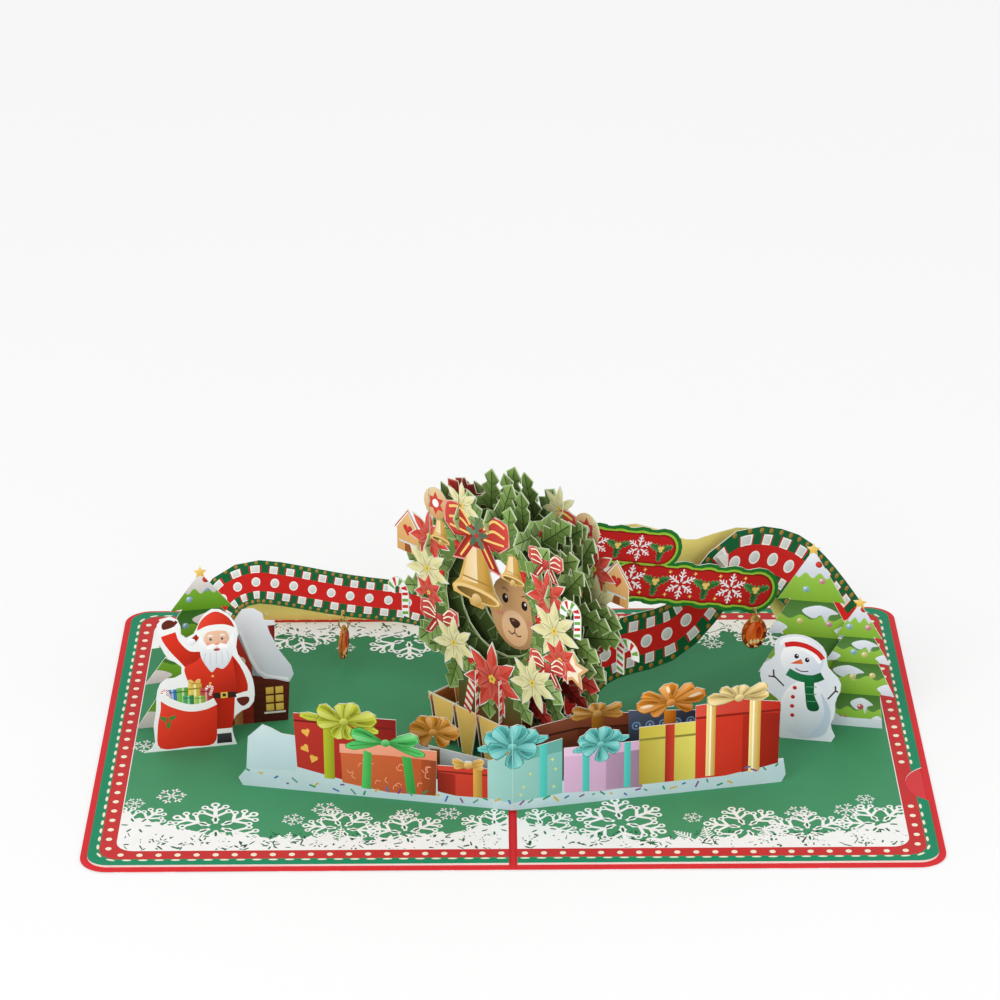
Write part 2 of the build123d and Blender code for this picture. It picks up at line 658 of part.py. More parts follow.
def loop(top, x_dir):
    """Ring of gold cord that hangs from a point, in the upright plane of x_dir."""
    outer = LOOP_RADIUS + LOOP_WIRE / 2
    inner = LOOP_RADIUS - LOOP_WIRE / 2
    ring = oval(outer, outer, EYELET_SIDES) - oval(inner, inner, EYELET_SIDES)
    solid = extrude(Pos(0, -LOOP_RADIUS) * ring, amount=LOOP_WIRE / 2, both=True)
    return hung_plane(top, x_dir).location * solid


def charm(top, x_dir):
    """Die-cut charm that hangs from a point, in the upright plane of x_dir."""
    solid = extrude(charm_shape(), amount=CHARM_STOCK / 2, both=True)
    return hung_plane(top, x_dir).location * solid


def eyelet_point(foot, heading, lean, eyelet):
    """Middle of an eyelet in space."""
    spot = standing_plane(foot, heading, lean).from_local_coords((eyelet[0], eyelet[1], -SHEET_STOCK / 2))
    return Vector(spot)


def make_charms():
    """Right charm on one loop, parallel to the plaque; left charm on two loops, so it hangs edge on."""
    eyelet = plaque_shape()[1]
    top = eyelet_point(PLAQUE_FOOT, PLAQUE_HEADING, 0, eyelet)
    along, back = direction(PLAQUE_HEADING)
    drop = Vector(0, 0, -2 * LOOP_RADIUS)
    parts = {"loop_right": loop(top, back), "charm_right": charm(top + drop, along)}
    eyelet = banner_left_shape()[1]
    top = eyelet_point((0, BANNER_LEFT_APEX), BANNER_LEFT_HEADING, BANNER_LEFT_LEAN, eyelet)
    top += Vector(0, 0, BANNER_LEFT_LIFT)
    along, back = direction(BANNER_LEFT_HEADING)
    second = top + drop + Vector(0, 0, LOOP_WIRE + LOOP_PLAY)
    parts["loop_left_upper"] = loop(top, back)
    parts["loop_left_lower"] = loop(second, along)
    parts["charm_left"] = charm(second + drop, back)
    return parts


# Wreath and pot

def pot_stations():
    """Places of the pot's cross sheets along the ring sheets."""
    return [POT_START + POT_PITCH * n for n in range(POT_STATIONS)]


def is_tall(station):
    """The cross sheets next to the middle reach up into the rings."""
    return abs(station) < POT_PITCH


def link_stations():
    """Places of the leaf links along the ring sheets, and the height at which the two lap."""
    spots = [LINK_LEAF_PITCH * n for n in (-2, -1, 0, 1, 2)]
    return [(s, RING_HEIGHT + sqrt(LINK_LEAF_RADIUS ** 2 - s * s)) for s in spots]


def ring_offsets():
    """Distance of each ring sheet towards the front left from the wreath's middle."""
    return [RING_PITCH * n for n in (2, 1, 0, -1, -2)]


def slot(x, low, high):
    """Cut for a crossing sheet."""
    width = SHEET_STOCK + 2 * SLOT_CLEARANCE
    return box2d(x - width / 2, low, x + width / 2, high)


def lap_height(station, has_pot):
    """Height at which a ring sheet and a cross sheet of the pot lap."""
    if not is_tall(station):
        return POT_HEIGHT - POT_BAND
    hem = POT_HEIGHT if has_pot else RING_HEIGHT - sqrt(RING_OUTER ** 2 - station ** 2)
    return (hem + TALL_CROSS_HEIGHT) / 2


def pot_teeth():
    """Rim band with tapered teeth between the cross sheets, and the collar up to the ring."""
    stations = pot_stations()
    low = POT_HEIGHT - POT_BAND
    band = box2d(stations[0] - POT_OVERHANG, low, stations[-1] + POT_OVERHANG, POT_HEIGHT)
    collar = box2d(-COLLAR_HALF_WIDTH, low, COLLAR_HALF_WIDTH, RING_HEIGHT - RING_OUTER + COLLAR_LAP)
    teeth = [
        polygon([(a, POT_HEIGHT), (b, POT_HEIGHT), (b - TOOTH_TAPER, 0), (a + TOOTH_TAPER, 0)])
        for a, b in zip(stations, stations[1:])]
    return joined([band, collar] + teeth)


def holly_ring(count, turn, opening):
    """Ring with holly leaves all round, each leaning along the ring, about the ring's centre."""
    leaves = []
    for n in range(count):
        angle = turn + 360 * n / count
        lean = HOLLY_LEANS[n % 2]
        leaf = Pos(RING_OUTER - HOLLY_LAP, 0) * Rot(0, 0, lean) * holly_leaf(HOLLY_LENGTH, HOLLY_WIDTH)
        leaves.append(Rot(0, 0, angle) * leaf)
    return joined([disc(RING_OUTER)] + leaves) - disc(opening)


def flowered_ring():
    """Ring of leaves, flowers, bows, bells and biscuits, about the ring's centre."""
    motifs = [
        (gingerbread_house, -41.4, 15.8, 15), (poinsettia, -31.7, 5.2, 11.5), (poinsettia, -18.3, -20.2, 11),
        (bow, -25.6, -13.1, 20), (candy_cane, -47, -9, 15), (poinsettia, -30.4, 18.6, 11),
        (bell, -24.5, 27, 10), (poinsettia, -13.6, 36.3, 9), (disc, -26.8, 32.8, 6), (bow, -6, 26.8, 33),
        (bell, -6.2, 23.5, 25), (bell, 12, 25, 12), (bow, 28, 27, 17), (poinsettia, 28.9, 14.7, 11),
        (poinsettia, 32.2, 2.4, 12), (candy_cane, 40, 12, 14), (bow, 29, -13.2, 18), (poinsettia, 35, -8, 9),
        (poinsettia, 21.4, -22.1, 11.5), (poinsettia, 1.2, -27.9, 15), (biscuit_star, 41.1, -9.5, 8)]
    leaf = Rot(0, 0, FLOWER_LEAF_LEAN) * holly_leaf(HOLLY_LENGTH, HOLLY_WIDTH)
    rooted = Pos(RING_OUTER - FLOWER_LEAF_LAP, 0) * leaf
    leaves = [Rot(0, 0, FLOWER_LEAF_LEAN + 360 * n / FLOWER_LEAVES) * rooted for n in range(FLOWER_LEAVES)]
    band = disc(RING_OUTER - HOLLY_LAP) - disc(FLOWER_OPENING)
    return joined([band] + leaves + [Pos(x, y) * make(size) for make, x, y, size in motifs])


def biscuit_star(radius):
    """Five-pointed biscuit."""
    return star(5, radius, 0.5 * radius)


def deer_ring():
    """Holly ring with a deer's face in its opening, held at the chin."""
    face = Pos(*FACE_CENTRE) * oval(FACE_WIDTH / 2, FACE_HEIGHT / 2)
    return joined([holly_ring(15, 12, DEER_OPENING), face])


def ring_sheet(shape, offset, has_pot):
    """Ring sheet with its slots, stood in its place across the corner of the card."""
    sheet = Pos(0, RING_HEIGHT) * shape
    if has_pot:
        sheet = joined([sheet, pot_teeth()])
    cuts = [slot(s, -FAR, lap_height(s, has_pot)) for s in pot_stations()]
    cuts += [slot(s, lap, FAR) for s, lap in link_stations()]
    sheet = largest(sheet - cuts)
    return stand(sheet, ring_foot(offset + SHEET_STOCK / 2), -45)


def ring_foot(offset):
    """Foot of a ring sheet's plane."""
    return place((0, WREATH_FROM_FRONT - LEAF_DEPTH / 2), -45, 0, -offset)


def cross_foot(station):
    """Foot of a cross sheet's plane."""
    return place((0, WREATH_FROM_FRONT - LEAF_DEPTH / 2), 45, 0, -station - SHEET_STOCK / 2)


def pot_cross(station):
    """Cross sheet of the pot, tapered to its foot and slotted from above."""
    half = 2 * RING_PITCH + CROSS_OVERHANG
    high = TALL_CROSS_HEIGHT if is_tall(station) else POT_HEIGHT
    sheet = polygon([
        (-half, high), (-half, POT_HEIGHT), (CROSS_TAPER - half, 0), (half - CROSS_TAPER, 0),
        (half, POT_HEIGHT), (half, high)])
    for n, offset in enumerate(ring_offsets()):
        has_pot = n % 2 == 0
        if has_pot or is_tall(station):
            sheet -= slot(-offset, lap_height(station, has_pot), FAR)
    return stand(sheet, cross_foot(station), 45)


def wreath_link(station, lap):
    """Holly leaf that hangs across all the rings, slotted from below."""
    half = 2 * RING_PITCH + 2 * CROSS_OVERHANG
    side = [(1.0, 0.0), (0.84, 0.35), (0.6, 0.26), (0.4, 0.5), (0.0, 0.38)]
    right = [(half * x, LINK_LEAF_WIDTH * y) for x, y in side]
    top = right + [(-x, y) for x, y in right[-2::-1]]
    leaf = polygon(top + [(x, -y) for x, y in top[-2:0:-1]])
    sheet = Pos(0, lap + LINK_LEAF_RISE) * leaf
    for offset in ring_offsets():
        sheet -= slot(-offset, -FAR, lap)
    return stand(largest(sheet), cross_foot(station), 45)


def make_wreath():
    """Five ring sheets, the cross sheets of the pot and the leaf links at the top."""
    flowers = flowered_ring()
    shapes = [
        ("wreath_front", flowers, True), ("wreath_second", holly_ring(16, 0, HOLLY_OPENING), False),
        ("wreath_middle", deer_ring(), True), ("wreath_fourth", holly_ring(16, 11, HOLLY_OPENING), False),
        ("wreath_back", flowers.mirror(Plane.YZ), True)]
    parts = {}
    for (name, shape, has_pot), offset in zip(shapes, ring_offsets()):
        parts[name] = ring_sheet(shape, offset, has_pot)
    for n, station in enumerate(pot_stations(), 1):
        parts[f"pot_cross_{n}"] = pot_cross(station)
    for n, (station, lap) in enumerate(link_stations(), 1):
        parts[f"wreath_link_{n}"] = wreath_link(station, lap)
    return parts


def make_scenery():
    """Gift strips and figures on the two pages."""
    edge = OPEN_WIDTH / 2
    front = (0, FRONT_STRIP_FROM_FRONT - LEAF_DEPTH / 2)
    rear = (0, front[1] + STRIP_SPACING)
    santa = (SANTA_IN - edge, SANTA_BACK)
    house = (HOUSE_IN - edge, HOUSE_BACK)
    snowman = (edge - SNOWMAN_IN, SNOWMAN_BACK)
    short = (edge - TREE_SHORT_IN, TREE_SHORT_BACK)
    behind_santa = place(santa, LEFT_HEADING, TREE_LEFT_ACROSS, TREE_LEFT_BEHIND)
    behind_snowman = place(snowman, RIGHT_HEADING, TREE_TALL_ACROSS, TREE_TALL_BEHIND)
    return {
        "gift_strip_front": v_fold(front_strip_outline(), front, FRONT_STRIP_FLAPS),
        "gift_strip_back": v_fold(back_strip_outline(), rear, BACK_STRIP_FLAPS),
        "santa": figure(santa_outline(), santa, LEFT_HEADING, SANTA_FLAP),
        "house": figure(house_outline(), house, LEFT_HEADING, HOUSE_FLAP, HOUSE_FOOT_DEPTH),
        "tree_left": figure(tree_left_outline(), behind_santa, LEFT_HEADING, TREE_LEFT_FLAP),
        "santa_link": tie_strip(santa, LEFT_HEADING, SANTA_LINK, TREE_LEFT_BEHIND),
        "snowman": figure(snowman_outline(), snowman, RIGHT_HEADING, SNOWMAN_FLAP),
        "tree_tall": figure(tree_tall_outline(), behind_snowman, RIGHT_HEADING, TREE_TALL_FLAP),
        "snowman_link": tie_strip(snowman, RIGHT_HEADING, SNOWMAN_LINK, TREE_TALL_BEHIND),
        "tree_short": figure(tree_short_outline(), short, RIGHT_HEADING, TREE_SHORT_FLAP)}


def make_banners():
    """Ribbons, the yellow sheets behind them and the plaque with its two strips."""
    left_link, right_link = make_plaque_links()
    return {
        "banner_left": make_banner_left(), "banner_right": make_banner_right(),
        "backing_left": make_backing_left(), "backing_right": make_backing_right(),
        "plaque": stand(plaque_shape()[0], PLAQUE_FOOT, PLAQUE_HEADING),
        "plaque_link_left": left_link, "plaque_link_right": right_link}


def main():
    parts = {
        "cover": make_cover(), "left_page": make_page(-1, False), "right_page": make_page(1, True),
        "note_card": make_note_card()}
    parts.update(make_scenery())
    parts.update(make_banners())
    parts.update(make_charms())
    parts.update(make_wreath())
    os.makedirs("parts", exist_ok=True)
    for name, part in parts.items():
        export_step(part, os.path.join("parts", name + ".step"))


if __name__ == "__main__":
    main()
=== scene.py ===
import json
import random
from math import atan2, cos, degrees, dist, hypot, pi, radians, sin, sqrt

import bpy
from mathutils import Matrix, Vector
from mathutils.geometry import delaunay_2d_cdt

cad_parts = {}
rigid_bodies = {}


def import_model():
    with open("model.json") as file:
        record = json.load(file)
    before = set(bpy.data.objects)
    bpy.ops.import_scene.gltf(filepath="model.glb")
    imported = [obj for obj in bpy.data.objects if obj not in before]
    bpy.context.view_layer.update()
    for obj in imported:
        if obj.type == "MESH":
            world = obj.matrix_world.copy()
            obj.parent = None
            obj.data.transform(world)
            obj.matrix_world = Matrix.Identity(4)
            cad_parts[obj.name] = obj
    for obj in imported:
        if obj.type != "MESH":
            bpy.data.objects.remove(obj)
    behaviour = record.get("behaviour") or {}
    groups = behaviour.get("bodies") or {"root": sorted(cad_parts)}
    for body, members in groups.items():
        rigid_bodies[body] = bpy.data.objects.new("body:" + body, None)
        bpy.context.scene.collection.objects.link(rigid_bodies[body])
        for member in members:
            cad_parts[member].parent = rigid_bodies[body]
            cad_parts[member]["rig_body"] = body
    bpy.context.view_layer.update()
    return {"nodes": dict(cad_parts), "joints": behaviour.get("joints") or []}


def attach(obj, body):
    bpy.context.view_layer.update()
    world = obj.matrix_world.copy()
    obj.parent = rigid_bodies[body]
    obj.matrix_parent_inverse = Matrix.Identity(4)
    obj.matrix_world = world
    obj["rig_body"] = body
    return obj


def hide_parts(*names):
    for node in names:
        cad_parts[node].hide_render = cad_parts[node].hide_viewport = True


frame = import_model()

bl_info = {
    "name": "Pop-up Christmas card",
    "version": (1, 0, 0),
    "blender": (4, 5, 0),
    "location": "3D View > Sidebar > Card",
    "description": "Prints the sheets of a pop-up card that lies open and sets it on a plain table",
    "category": "Object",
}

MM = 0.001

# Sheets, in millimetres and degrees, where the CAD has them
COVER_TOP, PAGE_TOP = 0.5, 1.3
STOCK, CHARM_STOCK = 0.4, 0.8
HAIR, PLANE_GAP, FLAP_GAP = 0.01, 0.03, 0.02
PAGE_INNER, PAGE_OUTER, PAGE_REACH, PAGE_CORNER = 1.5, 148.5, 97.5, 7.5
CORNER_POINTS = 7
STITCH_INSET, DOT_INSET, MARKS_START = 3.3, 6.7, 2.6
NOTCH_MIDDLE, NOTCH_HALF = -43.5, 16.2
STRIP_SWEEP = 11.4
FRONT_STRIP_APEX, BACK_STRIP_APEX = (0, -61), (0, -50)
LEFT_HEADING, RIGHT_HEADING = 10.8, -11
SANTA_FOOT, HOUSE_FOOT = (-118.2, -14), (-93.3, 5.8)
SNOWMAN_FOOT, SHORT_TREE_FOOT = (108.2, -10.1), (127.4, 0)
WREATH_FOOT, WREATH_TURN = (0, -20), 45
RING_HEIGHT, RING_OUTER = 63.7, 36
DEER_OPENING, HOLLY_OPENING, FLOWER_OPENING = 15, 20, 22
FLOWER_LEAVES, BRACTS = 13, 7
RING_OFFSETS = (11, 5.5, 0, -5.5, -11)
RING_NAMES = ("wreath_front", "wreath_second", "wreath_middle", "wreath_fourth", "wreath_back")
# Rings of holly alone: number of leaves, turn of the first, darkness and opening
HOLLY_RINGS = {
    1: (16, 0, 0.92, HOLLY_OPENING), 2: (15, 12, 0.86, DEER_OPENING), 3: (16, 11, 0.9, HOLLY_OPENING)}
POT_STATIONS = (-30, -18, -6, 6, 18)
POT_HEIGHT = 18.7
LEAF_STATIONS, LEAF_RADIUS = (-30, -15, 0, 15, 30), 33
BANNER_RIGHT_FOOT, BANNER_RIGHT_SPAN = (0, -5), (140, 98)
# Middle line of each banner; the right one's is measured from its far end
BANNER_RIGHT_LINE = [
    (151, -3), (146, 6), (136, 17), (123, 21), (108, 20.3), (96, 20.9), (87, 25.5), (78, 33.5), (66, 41.5),
    (52, 38.8), (40, 31.8), (31, 22.5), (19, 7), (12, -3)]
BANNER_LEFT_LINE = [
    (-125, -3), (-124, 10), (-119, 24.5), (-109, 31), (-97, 32), (-84, 31.6), (-70, 31.2), (-56, 31.5),
    (-42, 31.5), (-28, 28), (-17, 17), (-10, 5), (-7, -3)]
# Print of each banner: width at both ends, pitch of its blocks and of its dots
RIGHT_RIBBON, LEFT_RIBBON = (25, 25, 8.6, 9.7), (17.5, 14.5, 6.6, 7.7)
BANNER_LEFT_FOOT, BANNER_LEFT_HEADING, BANNER_LEFT_LEAN = (0, 20), -18, 28
BACKING_LEFT_FOOT, BACKING_RIGHT_GAP = (-117, 90), 7
PLAQUE_FOOT, PLAQUE_HEADING = (30, 10), 18
PLAQUE_TILT, PLAQUE_CORNER = -14, (2, 49)
# Charms: heading, joint and drop below its pivot
CHARMS = {"charm_right": (18, "right_charm_swing", 4), "charm_left": (72, "left_charm_swing", 7.4)}

# Snow on the pages: places and heights along its edge, by side
FRONT_SNOW = {
    -1: [(0, -67), (8, -70), (22, -77), (50, -80), (80, -79), (104, -76), (122, -71), (134, -64), (141, -60)],
    1: [(0, -67), (8, -70), (20, -77), (34, -82), (74, -81), (108, -78), (122, -75), (134, -69), (141, -62)]}
REAR_SNOW = [(0, 74), (30, 77), (62, 75), (96, 78), (124, 74), (141, 66)]
# Snowflakes on the pages: x, y, radius and turn
LARGE_FLAKES = {
    -1: [(-104.9, -71.4, 17, 4), (-60.4, -73, 14, 20), (-37.5, -77, 15, 9), (-6.5, -73, 13, 0),
         (-133, -70, 14, 25), (-82, 77, 15, 12), (-39.3, 73.2, 17, 2), (-112, 80, 14, 30),
         (-14, 80, 12, 8)],
    1: [(38.2, -70, 17, 6), (82.2, -74, 15, 18), (104, -77, 15, 2), (10.5, -73, 13, 12),
        (130, -72, 15, 26), (99.7, 80, 15, 10), (70, 80, 13, 0), (40, 78, 14, 20), (126, 78, 13, 5)]}
SMALL_FLAKES = [
    (-122.2, -49.2, 5.2, 10), (-134.9, -54.3, 3.6, 0), (-77.7, -66.6, 4, 20), (-66.6, -59.4, 4.8, 5),
    (-37.7, -64.1, 4.6, 14), (-22.7, -63.1, 4.4, 3), (-134.8, -12, 4.4, 22), (-63.6, 66, 3.6, 8),
    (63.7, -66.8, 3.4, 12), (101.7, -64.1, 5, 0), (118.7, -62.2, 4.6, 18), (126, -54.5, 3.4, 6),
    (78.4, 67.6, 4.2, 9), (60.6, 64, 2.6, 2), (-20, 62, 3.4, 15), (112, 66, 3, 4)]

# Bows on the gifts: direction, length and width of each loop or tail; tails are narrow
TAIL_WIDTH = 3.5
OLIVE_BOW = [
    (152, 10.8, 6), (186, 10, 5.4), (94, 7.4, 6), (59, 8.8, 6), (12, 12.2, 6.6), (242, 7.6, 5.4),
    (291, 7.2, 5.4), (175, 16.4, 3.2), (-13, 13, 3.2)]
GREEN_BOW = [(165, 13, 5.6), (13, 12.4, 5.6), (190, 14.8, 3.4), (-14, 14.8, 3.4)]
SMALL_BOW = [(168, 6, 3), (20, 6, 3), (194, 5.4, 1.8), (-8, 5.6, 1.8)]
TEAL_BOW = [
    (128, 9.4, 7.4), (69, 9, 7.4), (161, 10.6, 6.8), (199, 9.1, 6.8), (342, 9.1, 6.8), (276, 8.8, 6.4),
    (29, 10.5, 6.4), (190, 12.8, 3), (12, 13.4, 3)]
GOLD_BOW = [(178, 11.8, 5), (150, 8, 4.6), (110, 5, 4.4), (60, 5.4, 4.6), (22, 11, 4.6), (2, 11, 4)]
BRONZE_BOW = [
    (173, 8.8, 6.4), (5, 9.6, 6.4), (135, 7.8, 6), (45, 7.8, 6), (90, 6.6, 6), (222, 7, 5.6), (318, 7, 5.6)]
BROWN_BOW = [(165, 9.4, 3.6), (18, 9.6, 3.6), (184, 9.6, 3), (-6, 9.6, 3), (60, 4.6, 4), (118, 4.6, 4)]
ORANGE_BOW = [
    (182, 12.6, 6), (160, 11.4, 5), (98, 7.8, 7.4), (12, 13.2, 6), (38, 10.4, 5), (212, 8.4, 4),
    (-22, 8.8, 4)]

# Stage, in metres and degrees, but the camera's place in millimetres, fitted to the card's corners
TABLE_REACH, TABLE_LEVEL = 4.0, -0.0003
TABLE_GREYS, TABLE_WHITENESS = (0.93, 0.96), 0.5
AIR_STRENGTH = 0.84
LAMP_AIM = (0, 0, 0.03)
LAMPS = (("key lamp", (-0.7, -1.3, 0.9), 0.9, 8.0), ("fill lamp", (0.9, -1.3, 0.6), 1.0, 4.5))
SENSOR, FOCAL_PIXELS, PICTURE_PIXELS = 36.0, 3712.1, 1000
CAMERA_PLACE = (-5.7, -1210.8, 659.3)
CAMERA_PITCH, CAMERA_YAW, CAMERA_ROLL = 25.0, -0.09, -0.3

# Finishes
CARD_ROUGH, CARD_GLOSS = 0.5, 0.1
FIBRE_BUMP, LAY_BUMP = 0.04, 0.3
FIBRE_SCALE, MOTTLE_SCALE, PULP_SCALE = 2600.0, 90.0, 160.0
INK_SCALE, LAY_SCALE, TABLE_SCALE = 300.0, 900.0, 3.0
TARTAN_PITCH, CORD_HALF, TWIST_PITCH, TWIST_WIDTH = 34.0, 1.3, 2.2, 1.5
LINE_PITCH, LINE_WIDTH = 1.3, 0.35
RULE_PITCH, RULE_WIDTH, RULE_START, RULE_END, RULE_REACH = 9.0, 0.4, 18.0, 122.0, 80.0
NOTE_EDGE = 128.0

# Inks, as they look, from 0 to 255
WHITE = (246, 246, 243)
LEAF_EDGE = (204, 212, 182)
CORE = (238, 235, 228)
SILVER = (226, 230, 226)
CREAM = (248, 242, 214)
BLACK = (32, 27, 26)
CANE_RED, CANE_GREEN = (206, 48, 44), (110, 170, 70)
POST_CREAM, POST_RED = (244, 236, 220), (200, 52, 44)
RIM_CREAM = (236, 220, 182)
TEAL = (92, 192, 186)
TEAL_BAND = ((84, 196, 184), (70, 176, 168), 0)
PALE_GOLD = (246, 214, 120)
BERRY = ((214, 60, 50), (140, 26, 26), -60)


# Sheets and where they stand

class Sheet:
    """Plane of a sheet: x along it, y up it, and depth towards its printed side. Millimetres."""

    def __init__(self, origin, along, up):
        self.origin = Vector(origin)
        self.along = Vector(along)
        self.up = Vector(up)
        self.out = self.along.cross(self.up)

    def flat(self, point):
        gap = point - self.origin
        return gap.dot(self.along), gap.dot(self.up), gap.dot(self.out)

    def space(self, x, y, depth):
        return self.origin + self.along * x + self.up * y + self.out * depth


class FoldedSheet:
    """Strip folded at x = 0 on the spine, with its two wings swept back."""

    def __init__(self, apex, sweep):
        self.origin = Vector((apex[0], apex[1], PAGE_TOP))
        self.left = standing(apex, -sweep)
        self.right = standing(apex, sweep)
        self.mitre = 1 / cos(radians(sweep))

    def wing(self, x):
        return self.left if x < 0 else self.right

    def flat(self, point):
        return self.wing(point.x - self.origin.x).flat(point)

    def space(self, x, y, depth):
        if abs(x) < 1e-3:
            return self.origin + Vector((0, -depth * self.mitre, y))
        return self.wing(x).space(x, y, depth)


def directions(heading):
    """Unit vectors along a sheet and straight back from it."""
    turn = radians(heading)
    return Vector((cos(turn), sin(turn), 0)), Vector((-sin(turn), cos(turn), 0))


def standing(foot, heading, lean=0.0, lift=0.0):
    """Sheet that stands on the page, leaning back by some degrees."""
    along, back = directions(heading)
    tilt = radians(lean)
    up = back * sin(tilt) + Vector((0, 0, cos(tilt)))
    return Sheet((foot[0], foot[1], PAGE_TOP + lift), along, up)


def level(height):
    """Sheet that lies flat, printed side up."""
    return Sheet((0, 0, height), (1, 0, 0), (0, 1, 0))


def place(foot, heading, across, behind):
    """Foot of a sheet parallel to another one, moved across and behind it."""
    along, back = directions(heading)
    moved = Vector((foot[0], foot[1], 0)) + along * across + back * behind
    return moved.x, moved.y


def ring_plane(offset):
    """Plane of a ring sheet, by its distance in front of the wreath's middle."""
    return standing(place(WREATH_FOOT, -WREATH_TURN, 0, -offset - STOCK / 2), -WREATH_TURN)


def cross_plane(station):
    """Plane of a cross sheet, by its station along the rings."""
    return standing(place(WREATH_FOOT, WREATH_TURN, 0, -station - STOCK / 2), WREATH_TURN)


# Inks and shapes

def linear(ink):
    """Linear colour of an ink that is given as it looks, from 0 to 255."""
    shares = [value / 255 for value in ink]
    return tuple(v / 12.92 if v < 0.04 else ((v + 0.055) / 1.055) ** 2.4 for v in shares)


def shade(ink, share):
    """Ink made darker below 1 and lighter above it."""
    if share <= 1:
        return tuple(v * share for v in ink)
    return tuple(v + (255 - v) * (share - 1) for v in ink)


def fade(ink, start, end, angle=0):
    """Paint that runs from one shade of an ink to another in some direction."""
    return shade(ink, start), shade(ink, end), angle


def scaled(points, wide, high=None):
    """Points of a unit outline at their size."""
    high = wide if high is None else high
    return [(wide * x, high * y) for x, y in points]


def print_ink(colour):
    """A property's colour as an ink from 0 to 255."""
    return tuple(255 * v for v in colour)


def colour_over(paint, points):
    """Colour of a shape at any point. A paint is one ink, or two inks and the direction between them."""
    if not isinstance(paint[0], tuple):
        colour = linear(paint)
        return lambda x, y: colour
    start, end = linear(paint[0]), linear(paint[1])
    turn = radians(paint[2])
    reach = [x * cos(turn) + y * sin(turn) for x, y in points]
    low, span = min(reach), max(max(reach) - min(reach), 1e-6)

    def colour(x, y):
        share = (x * cos(turn) + y * sin(turn) - low) / span
        share = min(1.0, max(0.0, share))
        return tuple(a + (b - a) * share for a, b in zip(start, end))

    return colour


def ring_points(cx, cy, rx, ry, turn=0.0, sides=20):
    """Points round an oval."""
    c, s = cos(radians(turn)), sin(radians(turn))
    points = []
    for n in range(sides):
        angle = 2 * pi * n / sides
        x, y = rx * cos(angle), ry * sin(angle)
        points.append((cx + c * x - s * y, cy + s * x + c * y))
    return points


def arc(radius, turns, cx=0.0, cy=0.0):
    """Points on a circle at some turns, in radians."""
    return [(cx + radius * cos(turn), cy + radius * sin(turn)) for turn in turns]


def mirrored(right):
    """Outline whose left half mirrors its right half."""
    return right + [(-x, y) for x, y in reversed(right)]


def smooth(points, steps=6, closed=False):
    """Points of a smooth line through some points."""
    count = len(points)
    spans = count if closed else count - 1
    made = []
    for n in range(spans):
        near = range(n - 1, n + 3)
        a, b, c, d = (points[m % count if closed else min(max(m, 0), count - 1)] for m in near)
        for k in range(steps):
            t = k / steps
            made.append(tuple(
                0.5 * (2 * q + (r - p) * t + (2 * p - 5 * q + 4 * r - w) * t * t
                       + (3 * q - p - 3 * r + w) * t ** 3)
                for p, q, r, w in zip(a, b, c, d)))
    return made if closed else made + [points[-1]]


def line_sides(points, half):
    """The two sides of a line that is drawn with some half width."""
    left, right = [], []
    for n, (x, y) in enumerate(points):
        before = points[max(n - 1, 0)]
        after = points[min(n + 1, len(points) - 1)]
        dx, dy = after[0] - before[0], after[1] - before[1]
        size = hypot(dx, dy) or 1.0
        left.append((x - dy / size * half, y + dx / size * half))
        right.append((x + dy / size * half, y - dx / size * half))
    return left, right


class Pen:
    """Prints shapes on a sheet, each over the ones before it, from its own place, turn and size."""

    def __init__(self, shapes=None, x=0.0, y=0.0, turn=0.0, size=1.0, flip=1):
        self.shapes = [] if shapes is None else shapes
        self.x, self.y, self.turn, self.size, self.flip = x, y, turn, size, flip

    def at(self, x, y, turn=0.0, size=1.0, flip=1):
        x, y = self.point((x, y))
        return Pen(self.shapes, x, y, self.turn + self.flip * turn, self.size * size, self.flip * flip)

    def point(self, spot):
        x, y = spot[0] * self.size * self.flip, spot[1] * self.size
        c, s = cos(radians(self.turn)), sin(radians(self.turn))
        return self.x + c * x - s * y, self.y + s * x + c * y

    def poly(self, points, paint):
        if isinstance(paint[0], tuple):
            angle = paint[2] if self.flip > 0 else 180 - paint[2]
            paint = (paint[0], paint[1], angle + self.turn)
        self.shapes.append(([self.point(spot) for spot in points], paint))

    def blob(self, points, paint, steps=5):
        self.poly(smooth(points, steps, True), paint)

    def oval(self, cx, cy, rx, ry, paint, turn=0.0, sides=18):
        self.poly(ring_points(cx, cy, rx, ry, turn, sides), paint)

    def disc(self, cx, cy, radius, paint, sides=18):
        self.oval(cx, cy, radius, radius, paint, sides=sides)

    def box(self, left, low, right, high, paint):
        self.poly([(left, low), (right, low), (right, high), (left, high)], paint)

    def band(self, points, width, paint, curved=False):
        line = smooth(points) if curved else points
        left, right = line_sides(line, width / 2)
        self.poly(left + right[::-1], paint)

    def ring(self, cx, cy, radius, width, paint, sides=14):
        for start, end in ((0, sides // 2), (sides // 2, sides)):
            turns = [2 * pi * n / sides for n in range(start, end + 1)]
            self.poly(arc(radius, turns, cx, cy) + arc(radius - width, turns, cx, cy)[::-1], paint)

    def star(self, cx, cy, radius, paint, tips=5, inner=0.46):
        points = []
        for n in range(2 * tips):
            turn = radians(90 + 180 * n / tips)
            points += arc(radius * (inner if n % 2 else 1), [turn], cx, cy)
        self.poly(points, paint)


# Motifs that several sheets share; the first shape of each has the outline of its cut sheet

def bract_points(radius):
    """Outline of a flower of pointed bracts."""
    points = []
    for n in range(BRACTS):
        middle = pi / 2 + 2 * pi * n / BRACTS
        for share, turn in ((0.42, -0.45), (0.72, -0.2), (1, 0), (0.72, 0.2)):
            points += arc(radius * share, [middle + turn])
    return points


